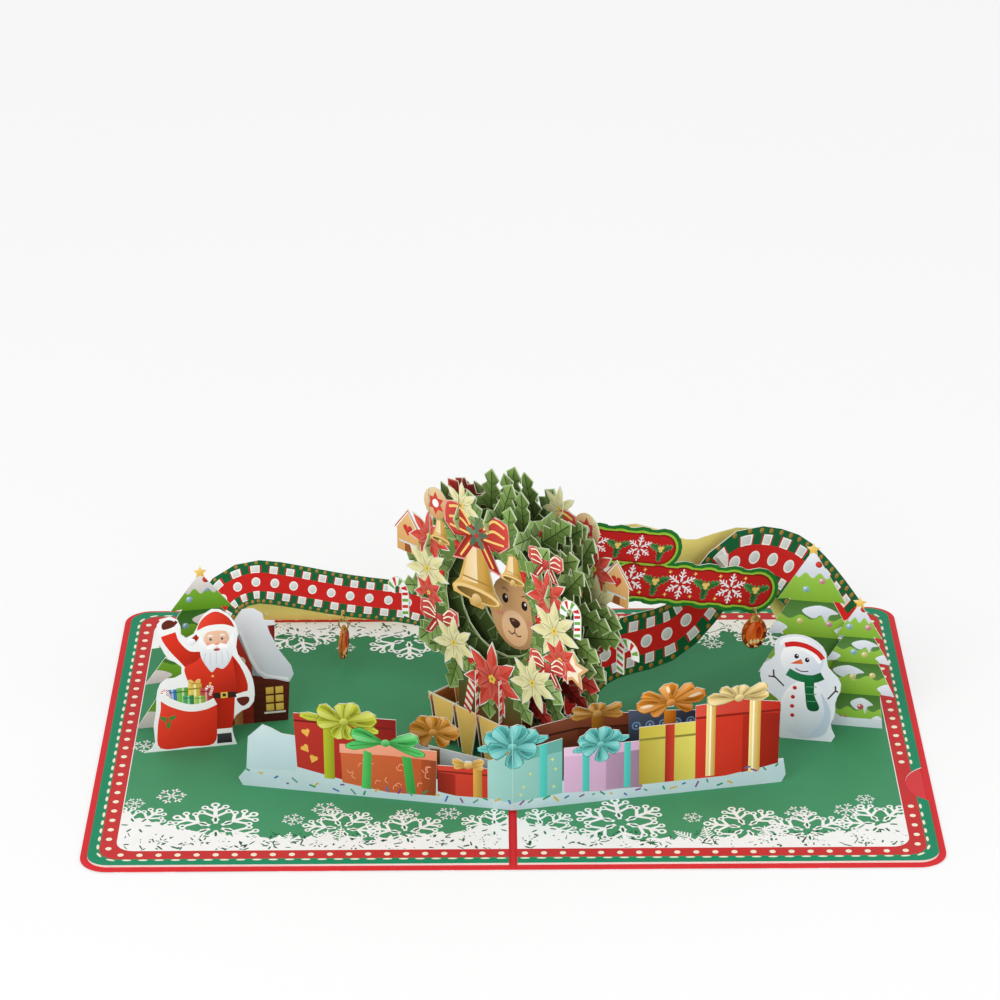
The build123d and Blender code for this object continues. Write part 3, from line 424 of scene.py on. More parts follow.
def poinsettia(pen, radius, ink):
    """Flower of broad pointed bracts, with veins and yellow buds in its middle."""
    pen.poly(bract_points(radius), CORE)
    pen.poly(bract_points(0.94 * radius), shade(ink, 0.74))
    for n in range(BRACTS):
        petal = pen.at(0, 0, 360 * n / BRACTS)
        petal.poly(scaled([(0, 0), (-0.2, 0.5), (0, 0.93), (0.02, 0.5)], radius), fade(ink, 0.86, 1.12, 90))
        petal.poly(scaled([(0, 0), (0.02, 0.5), (0, 0.93), (0.2, 0.5)], radius), fade(ink, 0.7, 1, 90))
    for n in range(BRACTS):
        petal = pen.at(0, 0, 360 * (n + 0.5) / BRACTS)
        petal.poly(scaled([(0, 0), (-0.13, 0.3), (0, 0.6), (0.13, 0.3)], radius), fade(ink, 0.82, 1.22, 90))
        petal.band(scaled([(0, 0.08), (0, 0.5)], radius), 0.025 * radius, shade(ink, 0.66))
    for n in range(5):
        bud = pen.at(0, 0, 72 * n)
        bud.disc(0, 0.075 * radius, 0.05 * radius, (236, 200, 84), sides=8)
    pen.disc(0, 0, 0.045 * radius, (150, 160, 60), sides=8)


def holly_points(length, width):
    """Outline of a thorny leaf along x."""
    side = [(0.24, 1), (0.4, 0.5), (0.55, 0.95), (0.68, 0.42), (0.8, 0.7)]
    upper = scaled(side, length, width / 2)
    return [(0, 0)] + scaled(upper, 1, -1) + [(length, 0)] + upper[::-1]


def holly_leaf(pen, length, width, ink):
    """Thorny leaf along x with a pale cut edge, a darker half and veins."""
    pen.poly(holly_points(length, width), shade(ink, 1.3))
    inner = [(0.02 * length + 0.95 * x, 0.92 * y) for x, y in holly_points(length, width)]
    pen.poly(inner, fade(ink, 0.84, 1.08))
    pen.poly([spot for spot in inner if spot[1] <= 1e-6], fade(ink, 0.66, 0.92))
    pen.band([(0, 0), (0.92 * length, 0)], 0.045 * width, shade(ink, 0.5))
    for share in (0.28, 0.46, 0.64):
        for side in (-1, 1):
            tip = ((share + 0.13) * length, side * 0.3 * width)
            pen.band([(share * length, 0), tip], 0.03 * width, shade(ink, 0.55))


def bow_points(width):
    """Outline of a bow with two loops and two tails."""
    side = [
        (0.12, 0.2), (0.55, 0.62), (0.95, 0.55), (1, 0.05), (0.7, -0.2), (0.35, -0.12), (0.75, -0.75),
        (0.4, -0.7), (0.12, -0.3)]
    return mirrored(scaled(side, width / 2))


def striped_bow(pen, width, ink, stripe, knot=None):
    """Bow of two loops and two tails with pale stripes and a knot of leaves or ribbon."""
    half = width / 2
    outline = [(0.08, 0.08), (0.52, 0.55), (0.9, 0.5), (0.94, 0.08), (0.66, -0.13), (0.3, -0.06)]
    tail = [(0.1, -0.05), (0.26, -0.16), (0.66, -0.7), (0.42, -0.64), (0.14, -0.28)]
    pen.poly(bow_points(width), shade(ink, 1.5))
    pen.poly(scaled(bow_points(width), 0.95, 0.94), shade(ink, 0.72))
    for side in (1, -1):
        loop = pen.at(0, 0, flip=side)
        loop.blob(scaled(outline, half), fade(ink, 0.82, 1.1, 20), 4)
        for share in (0, 0.24):
            line = [(0.2, 0.08 + share * 0.5), (0.5, 0.26 + share), (0.84, 0.2 + share)]
            loop.band(scaled(line, half), 0.06 * half, stripe, True)
        loop.band(scaled([(0.2, -0.02), (0.55, 0), (0.82, 0.02)], half), 0.05 * half, stripe, True)
        loop.poly(scaled(tail, half), fade(ink, 0.95, 0.78, -60))
        loop.band(scaled([(0.18, -0.18), (0.5, -0.62)], half), 0.05 * half, stripe)
    if knot is None:
        pen.oval(0, 0, 0.16 * half, 0.2 * half, fade(ink, 1.1, 0.8, -90), sides=12)
        return
    for n in range(5):
        leaf = pen.at(0, 0, 72 * n + 18)
        leaf.poly(holly_points(0.36 * half, 0.2 * half), shade(knot, 0.75 + 0.1 * (n % 3)))
    pen.disc(0, 0, 0.06 * half, (190, 60, 50), sides=10)


def golden_bell(pen, width, gold):
    """Bell hung from its place, as tall as it is wide, with a flared lip and a clapper."""
    side = [
        (0.08, 0), (0.2, -0.1), (0.27, -0.4), (0.36, -0.65), (0.5, -0.8), (0.47, -0.9), (0.16, -0.92),
        (0.12, -1)]
    lit = [(-0.17, -0.08), (0, -0.05), (0.02, -0.62), (-0.3, -0.66), (-0.22, -0.4)]
    dim = [(0.08, -0.06), (0.18, -0.1), (0.25, -0.4), (0.33, -0.66), (0.16, -0.7), (0.1, -0.4)]
    pen.poly(mirrored(scaled(side, width)), fade(gold, 1.15, 0.78))
    pen.poly(scaled(lit, width), fade(gold, 1.3, 1.6))
    pen.poly(scaled(dim, width), fade(gold, 0.95, 0.7))
    pen.oval(0, -0.8 * width, 0.47 * width, 0.11 * width, shade(gold, 1.35))
    pen.oval(0, -0.82 * width, 0.41 * width, 0.075 * width, fade(gold, 0.45, 0.8))
    pen.disc(0, -0.89 * width, 0.1 * width, fade(gold, 1.4, 0.8, -60), sides=14)
    pen.band(scaled([(-0.28, -0.58), (0.29, -0.58)], width), 0.025 * width, shade(gold, 0.72))


def candy_cane(pen, height, red, green):
    """Hooked stick with slanting stripes, its straight part down from its place."""
    hook, half = 0.24 * height, 0.12 * height
    left, right = hook - 0.85 * half, hook + 0.85 * half
    pen.box(hook - half, -0.62 * height, hook + half, 0, WHITE)
    pen.box(-hook - half, -0.12 * height, -hook + half, 0, WHITE)
    turns = [pi * n / 10 for n in range(11)]
    pen.poly(arc(hook + half, turns) + arc(hook - half, turns)[::-1], WHITE)
    for n in range(4):
        low = -0.6 * height + n * 0.17 * height
        pen.poly([(left, low), (right, low + 0.07 * height), (right, low + 0.15 * height),
                  (left, low + 0.08 * height)], red if n % 2 else green)
    for n in range(4):
        start = pi * (0.1 + 0.25 * n)
        stripe = [start, start + 0.35]
        inner = arc(left, [turn + 0.2 for turn in stripe])
        pen.poly(arc(right, stripe) + inner[::-1], green if n % 2 else red)


def gingerbread_house(pen, width):
    """Small biscuit house with an iced roof and a heart."""
    half = width / 2
    biscuit = [(-0.75, -1), (0.75, -1), (0.75, 0.1), (1, 0.05), (0, 1.3), (-1, 0.05), (-0.75, 0.1)]
    heart = (198, 52, 46)
    pen.poly(scaled(biscuit, half), ((214, 160, 96), (232, 190, 130), 90))
    pen.band(scaled([(-0.93, 0.08), (0, 1.2), (0.93, 0.08)], half), 0.17 * half, WHITE)
    pen.band(scaled([(-0.9, 0.14), (0, 1.22), (0.9, 0.14)], half), 0.07 * half, (196, 60, 52))
    pen.box(-0.62 * half, -0.55 * half, 0.62 * half, -0.46 * half, (206, 216, 222))
    pen.box(-0.22 * half, -0.98 * half, 0.22 * half, -0.55 * half, (150, 84, 44))
    for side in (-1, 1):
        pen.disc(side * 0.16 * half, 0.3 * half, 0.16 * half, heart, sides=10)
    pen.poly(scaled([(-0.3, 0.24), (0, -0.12), (0.3, 0.24)], half), heart)


def round_biscuit(pen, radius):
    """Round biscuit with a red star."""
    pen.disc(0, 0, radius, ((232, 206, 160), (206, 150, 96), -60), sides=24)
    pen.star(0, 0, radius - 1.4, (206, 70, 58), 6, 0.55)
    pen.disc(0, 0, 1.6, WHITE, sides=14)


def star_biscuit(pen, radius):
    """Star biscuit with pale icing and a red middle."""
    pen.star(0, 0, radius, ((232, 196, 140), (210, 156, 96), -60), 5, 0.5)
    pen.star(0, 0, radius - 2.6, (246, 232, 206), 5, 0.5)
    pen.disc(0, 0, 1.3, (206, 60, 52), sides=10)


def berries(pen, spread, radius, paint, sides=12):
    """Three berries round a place."""
    for n in range(3):
        pen.at(0, 0, 120 * n).disc(spread, 0, radius, paint, sides)


def ribbon_bow(pen, loops, ink):
    """Bow of ribbon loops and tails: the tails flat, the loops with a fold and a shaded inside."""
    outline = [(0, 0), (0.45, -0.38), (0.8, -0.5), (1, -0.2), (1, 0.2), (0.8, 0.5), (0.45, 0.38)]
    fold = [(0.12, 0.05), (0.5, 0.33), (0.84, 0.42), (0.93, 0.16), (0.6, 0.06)]
    inside = [(0.35, -0.1), (0.66, -0.34), (0.88, -0.3), (0.92, -0.08), (0.66, -0.1)]
    for turn, length, width in sorted(loops, key=lambda loop: loop[2]):
        loop = pen.at(0, 0, turn)
        loop.poly(scaled(outline, length, 1.1 * width), shade(ink, 0.58))
        loop.poly(scaled(outline, 0.98 * length, width), fade(ink, 0.62, 1.1))
        if width < TAIL_WIDTH:
            loop.band([(0, 0), (0.9 * length, 0)], 0.1 * width, shade(ink, 0.7))
            continue
        loop.blob(scaled(fold, length, width), fade(ink, 0.86, 1.32), 4)
        loop.blob(scaled(inside, length, width), fade(ink, 0.5, 0.86), 4)
    pen.oval(0, 0, 1.7, 1.5, fade(ink, 1.25, 0.72, -70), 20, 10)


def snow_star(pen, radius, ink, ringed=True):
    """Six-armed snowflake whose branches end in small rings or in points."""
    for n in range(6):
        arm = pen.at(0, 0, 60 * n + 30)
        arm.band([(0.14 * radius, 0), (0.86 * radius, 0)], 0.09 * radius, ink)
        arm.poly(scaled([(0.13, 0), (0.3, 0.09), (0.48, 0), (0.3, -0.09)], radius), ink)
        for side in (-1, 1):
            for share, reach in ((0.42, 0.3), (0.66, 0.22)):
                x, y = (share + 0.62 * reach) * radius, side * 0.8 * reach * radius
                arm.band([(share * radius, 0), (x, y)], 0.075 * radius, ink)
                if ringed:
                    arm.ring(x + 0.03 * radius, y + side * 0.04 * radius, 0.08 * radius, 0.045 * radius, ink)
        if ringed:
            arm.ring(0.92 * radius, 0, 0.1 * radius, 0.055 * radius, ink)
        else:
            arm.oval(0.9 * radius, 0, 0.1 * radius, 0.06 * radius, ink, sides=8)


# Cut sheets become printed meshes

def cut_along(triangles, shapes):
    """Cuts a sheet's triangles along the shapes on it: points, triangles and each one's topmost shape."""
    points, index, rings = [], {}, []

    def corner(spot):
        key = (round(spot[0], 4), round(spot[1], 4))
        if key not in index:
            index[key] = len(points)
            points.append(Vector(key))
        return index[key]

    for outline in triangles + [shape[0] for shape in shapes]:
        area = sum(a[0] * b[1] - b[0] * a[1] for a, b in zip(outline, outline[1:] + outline[:1]))
        ring = [corner(spot) for spot in (outline if area > 0 else outline[::-1])]
        ring = [spot for n, spot in enumerate(ring) if spot != ring[n - 1]]
        rings.append(ring)
    owners = [n for n, ring in enumerate(rings) if len(ring) > 2]
    found = delaunay_2d_cdt(points, [], [rings[n] for n in owners], 0, 1e-5)
    spots, faces, sources = found[0], found[2], found[5]
    kept, tops = [], []
    for face, source in zip(faces, sources):
        names = [owners[n] for n in source]
        if not names or min(names) >= len(triangles):
            continue
        kept.append(face)
        tops.append(max(names) - len(triangles) if max(names) >= len(triangles) else -1)
    used = sorted({n for face in kept for n in face})
    order = {old: n for n, old in enumerate(used)}
    return [spots[n] for n in used], [[order[n] for n in face] for face in kept], tops


def new_object(name, data):
    """Object in the scene's own collection."""
    made = bpy.data.objects.new(name, data)
    bpy.context.scene.collection.objects.link(made)
    return made


class Cutting:
    """Mesh of printed sheets as it is put together."""

    def __init__(self):
        self.points, self.faces, self.colours = [], [], []

    def add(self, sheet, triangles, shapes, paper, thick, both_sides=True, edge=CORE):
        """Adds one closed sheet with its print on the front, mirrored on the back or left plain."""
        spots, faces, tops = cut_along(triangles, shapes)
        outline = [spot for triangle in triangles for spot in triangle]
        plain = colour_over(paper, outline)
        inks = [colour_over(paint, points) for points, paint in shapes]
        core = linear(edge)
        first, count = len(self.points), len(spots)
        self.points += [sheet.space(x, y, depth) * MM for depth in (0, -thick) for x, y in spots]
        rims = {}
        for face, top in zip(faces, tops):
            colour = inks[top] if top >= 0 else plain
            tints = [colour(*spots[n]) for n in face]
            self.faces.append([first + n for n in face])
            self.colours += tints
            self.faces.append([first + count + n for n in reversed(face)])
            self.colours += tints[::-1] if both_sides else [core] * len(face)
            for a, b in zip(face, face[1:] + face[:1]):
                if (b, a) in rims:
                    del rims[b, a]
                else:
                    rims[a, b] = True
        for a, b in rims:
            self.faces.append([first + a, first + count + a, first + count + b, first + b])
            self.colours += [core] * 4

    def piece(self, name, material):
        """Turns the cutting into an object with its inks in a colour attribute."""
        mesh = bpy.data.meshes.new(name)
        mesh.from_pydata(self.points, [], self.faces)
        used = mesh.color_attributes.new("ink", "FLOAT_COLOR", "CORNER")
        flat = [value for colour in self.colours for value in (*colour, 1.0)]
        used.data.foreach_set("color", flat)
        mesh.materials.append(material)
        mesh.validate()
        return new_object(name, mesh)


def node_triangles(name):
    """Triangles of a CAD node in millimetres."""
    mesh = frame["nodes"][name].data
    mesh.calc_loop_triangles()
    spots = [vertex.co / MM for vertex in mesh.vertices]
    return [[spots[n] for n in triangle.vertices] for triangle in mesh.loop_triangles]


def front_of(name, sheet):
    """Outline triangles of the node's face in the plane of a sheet."""
    found = []
    for triangle in node_triangles(name):
        flats = [sheet.flat(spot) for spot in triangle]
        if all(abs(flat[2]) < PLANE_GAP for flat in flats):
            found.append([flat[:2] for flat in flats])
    if not found:
        raise RuntimeError(f"no face of {name} lies in its printed plane")
    return found


def foot_of(name):
    """Outline triangles of a standing sheet's glue flaps, which lie on the page."""
    top = PAGE_TOP + STOCK
    found = []
    for a, b, c in node_triangles(name):
        flat = max(abs(spot.z - top) for spot in (a, b, c)) < FLAP_GAP
        if flat and (b - a).cross(c - a).z > 1e-6:
            found.append([spot.xy[:] for spot in (a, b, c)])
    return found


def print_sheet(name, sheet, shapes, paper, thick=STOCK, edge=CORE):
    """Prints one cut sheet and lets it stand for its CAD node."""
    cutting = Cutting()
    cutting.add(sheet, front_of(name, sheet), shapes, paper, thick, True, edge)
    flaps = foot_of(name) if abs(sheet.origin.z - PAGE_TOP) < 1 else []
    if flaps:
        cutting.add(level(PAGE_TOP + STOCK), flaps, [], CORE, STOCK - 2 * HAIR)
    piece = cutting.piece(name + "_print", finish("printed card"))
    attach(piece, frame["nodes"][name]["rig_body"])
    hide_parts(name)


# Finishes

def maths(operation, reflected=False):
    """Operator of a wire that adds a Math node."""
    def method(self, other):
        values = (other, self) if reflected else (self, other)
        return self.math(operation, *values)
    return method


class Wire:
    """Output of a shader node. Operators on it add Math nodes, and node() adds any other."""

    def __init__(self, tree, out=None):
        self.tree, self.out = tree, out

    def node(self, kind, settings=None, links=None, out=0):
        made = self.tree.nodes.new(kind)
        for key, value in (settings or {}).items():
            setattr(made, key, value)
        self.feed(made, links or {})
        return Wire(self.tree, made.outputs[out])

    def feed(self, node, links):
        """Gives a node's inputs their wires or values."""
        for key, value in links.items():
            if isinstance(value, Wire):
                self.tree.links.new(value.out, node.inputs[key])
            else:
                node.inputs[key].default_value = value

    def spot(self):
        """Place on the object, in metres."""
        return self.node("ShaderNodeTexCoord", out="Object")

    def axes(self, count):
        """First axes of the place on the object, in millimetres."""
        split = self.node("ShaderNodeSeparateXYZ", {}, {0: self.spot()}).out.node
        return [Wire(self.tree, split.outputs[n]) * 1000 for n in range(count)]

    def cloud(self, scale):
        """Soft noise from 0 to 1."""
        return self.node("ShaderNodeTexNoise", {}, {"Vector": self.spot(), "Scale": scale})

    def near(self, middle, reach):
        """1 where the value is within reach of a middle."""
        gap = self - middle
        return self.math("ABSOLUTE", gap) < reach

    def math(self, operation, *values):
        return self.node("ShaderNodeMath", {"operation": operation}, dict(enumerate(values)))

    def mix(self, share, start, end):
        ends = [value if isinstance(value, Wire) else (*value, 1.0) for value in (start, end)]
        return self.node("ShaderNodeMix", {"data_type": "RGBA"}, {0: share, 6: ends[0], 7: ends[1]}, 2)

    __add__, __radd__ = maths("ADD"), maths("ADD", True)
    __sub__, __rsub__ = maths("SUBTRACT"), maths("SUBTRACT", True)
    __mul__, __rmul__ = maths("MULTIPLY"), maths("MULTIPLY", True)
    __lt__, __gt__ = maths("LESS_THAN"), maths("GREATER_THAN")
    __mod__, __rmod__ = maths("FLOORED_MODULO"), maths("FLOORED_MODULO", True)


def new_finish(name):
    """Empty material, a wire to build its nodes from and its shader node."""
    material = bpy.data.materials.new(name)
    material.use_nodes = True
    tree = material.node_tree
    return material, Wire(tree), tree.nodes["Principled BSDF"]


def paper_surface(wire, shader, colour, rough):
    """Links a colour to a shader with the fibre, mottle and slight unevenness of coated card."""
    spot = wire.spot()
    fibre = wire.node("ShaderNodeTexNoise", {}, {"Vector": spot, "Scale": FIBRE_SCALE, "Detail": 3.0})
    mottle = wire.node("ShaderNodeTexNoise", {}, {"Vector": spot, "Scale": MOTTLE_SCALE, "Detail": 2.0})
    tone = 0.93 + 0.1 * mottle + 0.03 * fibre
    grey = wire.node("ShaderNodeCombineColor", {}, {0: tone, 1: tone, 2: tone})
    tinted = wire.node("ShaderNodeMix", {"data_type": "RGBA", "blend_type": "MULTIPLY"},
                       {0: 1.0, 6: colour, 7: grey}, 2)
    height = wire.node("ShaderNodeBump", {}, {"Strength": FIBRE_BUMP, "Distance": 0.1 * MM, "Height": fibre})
    wire.feed(shader, {"Base Color": tinted, "Roughness": rough - 0.04 + 0.1 * mottle, "Normal": height})


def printed_card():
    """Coated card with its print read from the sheet's inks."""
    material, wire, shader = new_finish("printed card")
    inks = wire.node("ShaderNodeVertexColor", {"layer_name": "ink"})
    paper_surface(wire, shader, inks, CARD_ROUGH)
    wire.feed(shader, {"Specular IOR Level": CARD_GLOSS})
    return material


def plain_card():
    """Unprinted card of the strips that tie sheets together."""
    material, wire, shader = new_finish("plain card")
    pulp = wire.mix(wire.cloud(PULP_SCALE), linear((226, 224, 216)), linear((242, 240, 234)))
    paper_surface(wire, shader, pulp, 0.6)
    return material


def cover_board():
    """Cover: plain red inside, and outside a slanting tartan with fine upright lines and twisted cords."""
    inks = bpy.context.scene.card_inks
    material, wire, shader = new_finish("cover board")
    x, y, z = wire.axes(3)
    rise, fall = x * 0.6 + y * 0.8, x * 0.6 - y * 0.8
    first, second = rise % TARTAN_PITCH, fall % TARTAN_PITCH
    in_first, in_second = first < TARTAN_PITCH / 2, second < TARTAN_PITCH / 2
    both = in_first * in_second
    none = (1 - in_first) * (1 - in_second)
    colours = inks.tartan_brown, inks.tartan_red, inks.tartan_green, inks.cover_red
    brown, red, green, plain = (linear(print_ink(colour)) for colour in colours)
    field = wire.mix(both, brown, red)
    field = wire.mix(none, field, green)
    lines = ((x % LINE_PITCH) < LINE_WIDTH) * (1 - both) * (1 - none)
    field = wire.mix(lines * 0.6, field, green)
    twist = ((x + y * 0.2) % TWIST_PITCH) < TWIST_WIDTH
    cord_first, cord_second = (band.near(TARTAN_PITCH / 4, CORD_HALF) for band in (first, second))
    cords = wire.math("MAXIMUM", cord_first, cord_second)
    field = wire.mix(cords, field, wire.mix(twist, red, linear(WHITE)))
    inside = z > 0.02
    cover = wire.mix(inside, field, plain)
    paper_surface(wire, shader, cover, 0.45)
    wire.feed(shader, {"Specular IOR Level": CARD_GLOSS})
    return material


def note_paper():
    """Pull-out note: red along its outer edge, cream with faint ruled lines in its field."""
    inks = bpy.context.scene.card_inks
    material, wire, shader = new_finish("note paper")
    x, y = wire.axes(2)
    edge = x > NOTE_EDGE
    lines = (y % RULE_PITCH) < RULE_WIDTH
    ruled = lines * (x < RULE_END) * (x > RULE_START) * y.near(0.0, RULE_REACH)
    field = wire.mix(ruled, linear(print_ink(inks.cream)), linear((196, 158, 120)))
    paper_surface(wire, shader, wire.mix(edge, field, linear(print_ink(inks.cover_red))), 0.62)
    return material


def gold_cord():
    """Gold metallic cord with the slanting lay of its strands, its gold painted darker in the grooves as
    painted shade and lighter on the crests as painted highlight.
    """
    material, wire, shader = new_finish("gold cord")
    lay = wire.node("ShaderNodeTexWave", {"wave_type": "BANDS", "bands_direction": "DIAGONAL"},
                    {"Vector": wire.spot(), "Scale": LAY_SCALE, "Distortion": 1.0})
    # Painted shade and painted highlight: the gold follows the lay's bands, darker in the grooves between
    # strands and lighter on their crests.
    tint = wire.mix(lay, linear((176, 128, 52)), linear((240, 206, 120)))
    height = wire.node("ShaderNodeBump", {}, {"Strength": LAY_BUMP, "Distance": 0.1 * MM, "Height": lay})
    wire.feed(shader, {"Base Color": tint, "Roughness": 0.3 + 0.15 * lay, "Normal": height, "Metallic": 0.85})
    return material


def mark_ink(name, ink):
    """Thick printed ink of stitches, dots and snowflakes."""
    material, wire, shader = new_finish(name)
    tint = wire.mix(wire.cloud(INK_SCALE), linear(shade(ink, 0.95)), linear(ink))
    paper_surface(wire, shader, tint, CARD_ROUGH)
    return material


FINISHES = {
    "printed card": printed_card, "plain card": plain_card, "cover board": cover_board,
    "note paper": note_paper, "gold cord": gold_cord,
    "cream ink": lambda: mark_ink("cream ink", print_ink(bpy.context.scene.card_inks.cream)),
    "snow ink": lambda: mark_ink("snow ink", WHITE)}


def finish(name):
    """One of the card's materials, made when it is first asked for."""
    return bpy.data.materials.get(name) or FINISHES[name]()


def dress(name, material):
    """Gives a CAD node that stays its material."""
    node = frame["nodes"][name]
    node.data.materials.clear()
    node.data.materials.append(finish(material))


# Repeated marks

class Tree:
    """Geometry node tree with named inputs, built in order."""

    def __init__(self, name, inputs):
        self.tree = bpy.data.node_groups.new(name, "GeometryNodeTree")
        face = self.tree.interface
        self.sockets = {}
        for label, kind in [("Geometry", "Geometry"), *inputs]:
            socket = face.new_socket(label, in_out="INPUT", socket_type=f"NodeSocket{kind}")
            self.sockets[label] = socket.identifier
        face.new_socket("Geometry", in_out="OUTPUT", socket_type="NodeSocketGeometry")
        self.inputs = self.tree.nodes.new("NodeGroupInput").outputs
        self.end = self.tree.nodes.new("NodeGroupOutput").inputs[0]

    def add(self, kind, settings=None, links=None, out=0):
        made = self.tree.nodes.new(kind)
        for key, value in (settings or {}).items():
            setattr(made, key, value)
        for key, value in (links or {}).items():
            if isinstance(value, bpy.types.NodeSocket):
                self.tree.links.new(value, made.inputs[key])
            else:
                made.inputs[key].default_value = value
        return made.outputs[out]

    def turned(self, vector):
        """Rotation in the plane that points x along a vector."""
        axes = {"axis": "X", "pivot_axis": "Z"}
        return self.add("FunctionNodeAlignRotationToVector", axes, {"Vector": vector})

    def close(self, geometry):
        """Realizes the geometry, gives it the material and ends the tree."""
        real = self.add("GeometryNodeRealizeInstances", {}, {0: geometry})
        done = self.add("GeometryNodeSetMaterial", {}, {0: real, "Material": self.inputs["Material"]})
        self.tree.links.new(done, self.end)


def stitch_tree():
    """Flat oval marks set at an even pitch along a line, each turned with it."""
    tree = Tree("stitched line", [
        ("Pitch", "Float"), ("Length", "Float"), ("Width", "Float"), ("Thickness", "Float"),
        ("Sides", "Int"), ("Material", "Material")])
    line = tree.add("GeometryNodeMeshToCurve", {}, {0: tree.inputs["Geometry"]})
    spaced = tree.add("GeometryNodeResampleCurve", {"mode": "LENGTH"}, {
        0: line, "Length": tree.inputs["Pitch"]})
    turned = tree.turned(tree.add("GeometryNodeInputTangent"))
    size = tree.add("ShaderNodeCombineXYZ", {}, {0: tree.inputs["Length"], 1: tree.inputs["Width"],
                                                 2: tree.inputs["Thickness"]})
    plate = tree.add("GeometryNodeMeshCylinder", {}, {
        "Vertices": tree.inputs["Sides"], "Radius": 0.5, "Depth": 1.0})
    shaped = tree.add("GeometryNodeTransform", {}, {0: plate, "Scale": size})
    marks = tree.add("GeometryNodeInstanceOnPoints", {}, {0: spaced, "Instance": shaped, "Rotation": turned})
    tree.close(marks)
    return tree


def flake_tree():
    """Small six-armed snowflakes at points, each with its own turn and size."""
    tree = Tree("small snowflakes", [
        ("Arm Width", "Float"), ("Thickness", "Float"), ("Material", "Material")])
    parts = []
    for length, middle, turn in (
            (1.0, (0.5, 0, 0), 0), (0.42, (0.66, 0.13, 0), 55), (0.42, (0.66, -0.13, 0), -55)):
        size = tree.add("ShaderNodeCombineXYZ", {}, {0: length, 1: tree.inputs["Arm Width"],
                                                     2: tree.inputs["Thickness"]})
        bar = tree.add("GeometryNodeMeshCube", {}, {"Size": size})
        parts.append(tree.add("GeometryNodeTransform", {}, {
            0: bar, "Translation": middle, "Rotation": (0, 0, radians(turn))}))
    arm = tree.tree.nodes.new("GeometryNodeJoinGeometry")
    for part in parts:
        tree.tree.links.new(part, arm.inputs[0])
    hub = tree.add("GeometryNodeMeshCircle", {}, {"Vertices": 6, "Radius": 0.05})
    turned = tree.turned(tree.add("GeometryNodeInputPosition"))
    flake = tree.add("GeometryNodeInstanceOnPoints", {}, {
        0: hub, "Instance": arm.outputs[0], "Rotation": turned})
    whole = tree.add("GeometryNodeRealizeInstances", {}, {0: flake})
    size, turn = (
        tree.add("GeometryNodeInputNamedAttribute", {"data_type": "FLOAT"}, {"Name": name})
        for name in ("size", "turn"))
    spin = tree.add("ShaderNodeCombineXYZ", {}, {2: turn})
    scale = tree.add("ShaderNodeCombineXYZ", {}, {0: size, 1: size, 2: 1.0})
    tree.close(tree.add("GeometryNodeInstanceOnPoints", {}, {
        0: tree.inputs["Geometry"], "Instance": whole, "Rotation": spin, "Scale": scale}))
    return tree


def grow_marks(name, points, edges, tree, values, attributes=None):
    """Evaluates a tree on points or lines and keeps the result as a plain piece of the card."""
    seed = bpy.data.meshes.new(name + " seed")
    seed.from_pydata([Vector(spot) * MM for spot in points], edges, [])
    for label, numbers in (attributes or {}).items():
        seed.attributes.new(label, "FLOAT", "POINT").data.foreach_set("value", numbers)
    carrier = new_object(name + " seed", seed)
    modifier = carrier.modifiers.new("marks", "NODES")
    modifier.node_group = tree.tree
    for label, value in values.items():
        modifier[tree.sockets[label]] = value
    bpy.context.view_layer.update()
    made = bpy.data.meshes.new_from_object(carrier.evaluated_get(bpy.context.evaluated_depsgraph_get()))
    carrier.modifiers.remove(modifier)
    bpy.data.objects.remove(carrier)
    if not made.polygons:
        raise RuntimeError(f"{name} came out empty")
    made.name = name
    piece = new_object(name, made)
    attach(piece, "card")


# Pages

def border_line(side, inset, ends=0):
    """Line along the three outer edges of a page, set in from them, from spine to spine."""
    outer, reach = PAGE_OUTER - inset, PAGE_REACH - inset
    bend = PAGE_CORNER - 0.12 * inset
    points = [(PAGE_INNER - ends, -reach)]
    for cx, cy, start in ((outer - bend, bend - reach, -90), (outer - bend, reach - bend, 0)):
        turns = [radians(start + 90 * n / (CORNER_POINTS - 1)) for n in range(CORNER_POINTS)]
        points += arc(bend, turns, cx, cy)
    points.append((PAGE_INNER - ends, reach))
    return scaled(points, side, 1)


def drift(rng, profile):
    """Ragged edge of printed snow that follows a profile of places and heights."""
    points = []
    for (ax, ay), (bx, by) in zip(profile, profile[1:]):
        x = ax
        while x < bx:
            points.append((x, ay + (by - ay) * (x - ax) / (bx - ax) + rng.uniform(-1.8, 1.8)))
            x += rng.uniform(0.7, 2.2)
    return points + [profile[-1]]


def fern(pen, length, ink):
    """Sprig of printed frost that grows along x."""
    pen.band([(0, 0), (length, 0)], 0.5, ink)
    for n in range(1, 6):
        root, out = 0.15 * n * length, (0.34 - 0.045 * n) * length
        for side in (-1, 1):
            pen.band([(root, 0), (root + 0.7 * out, side * out)], 0.55, ink)


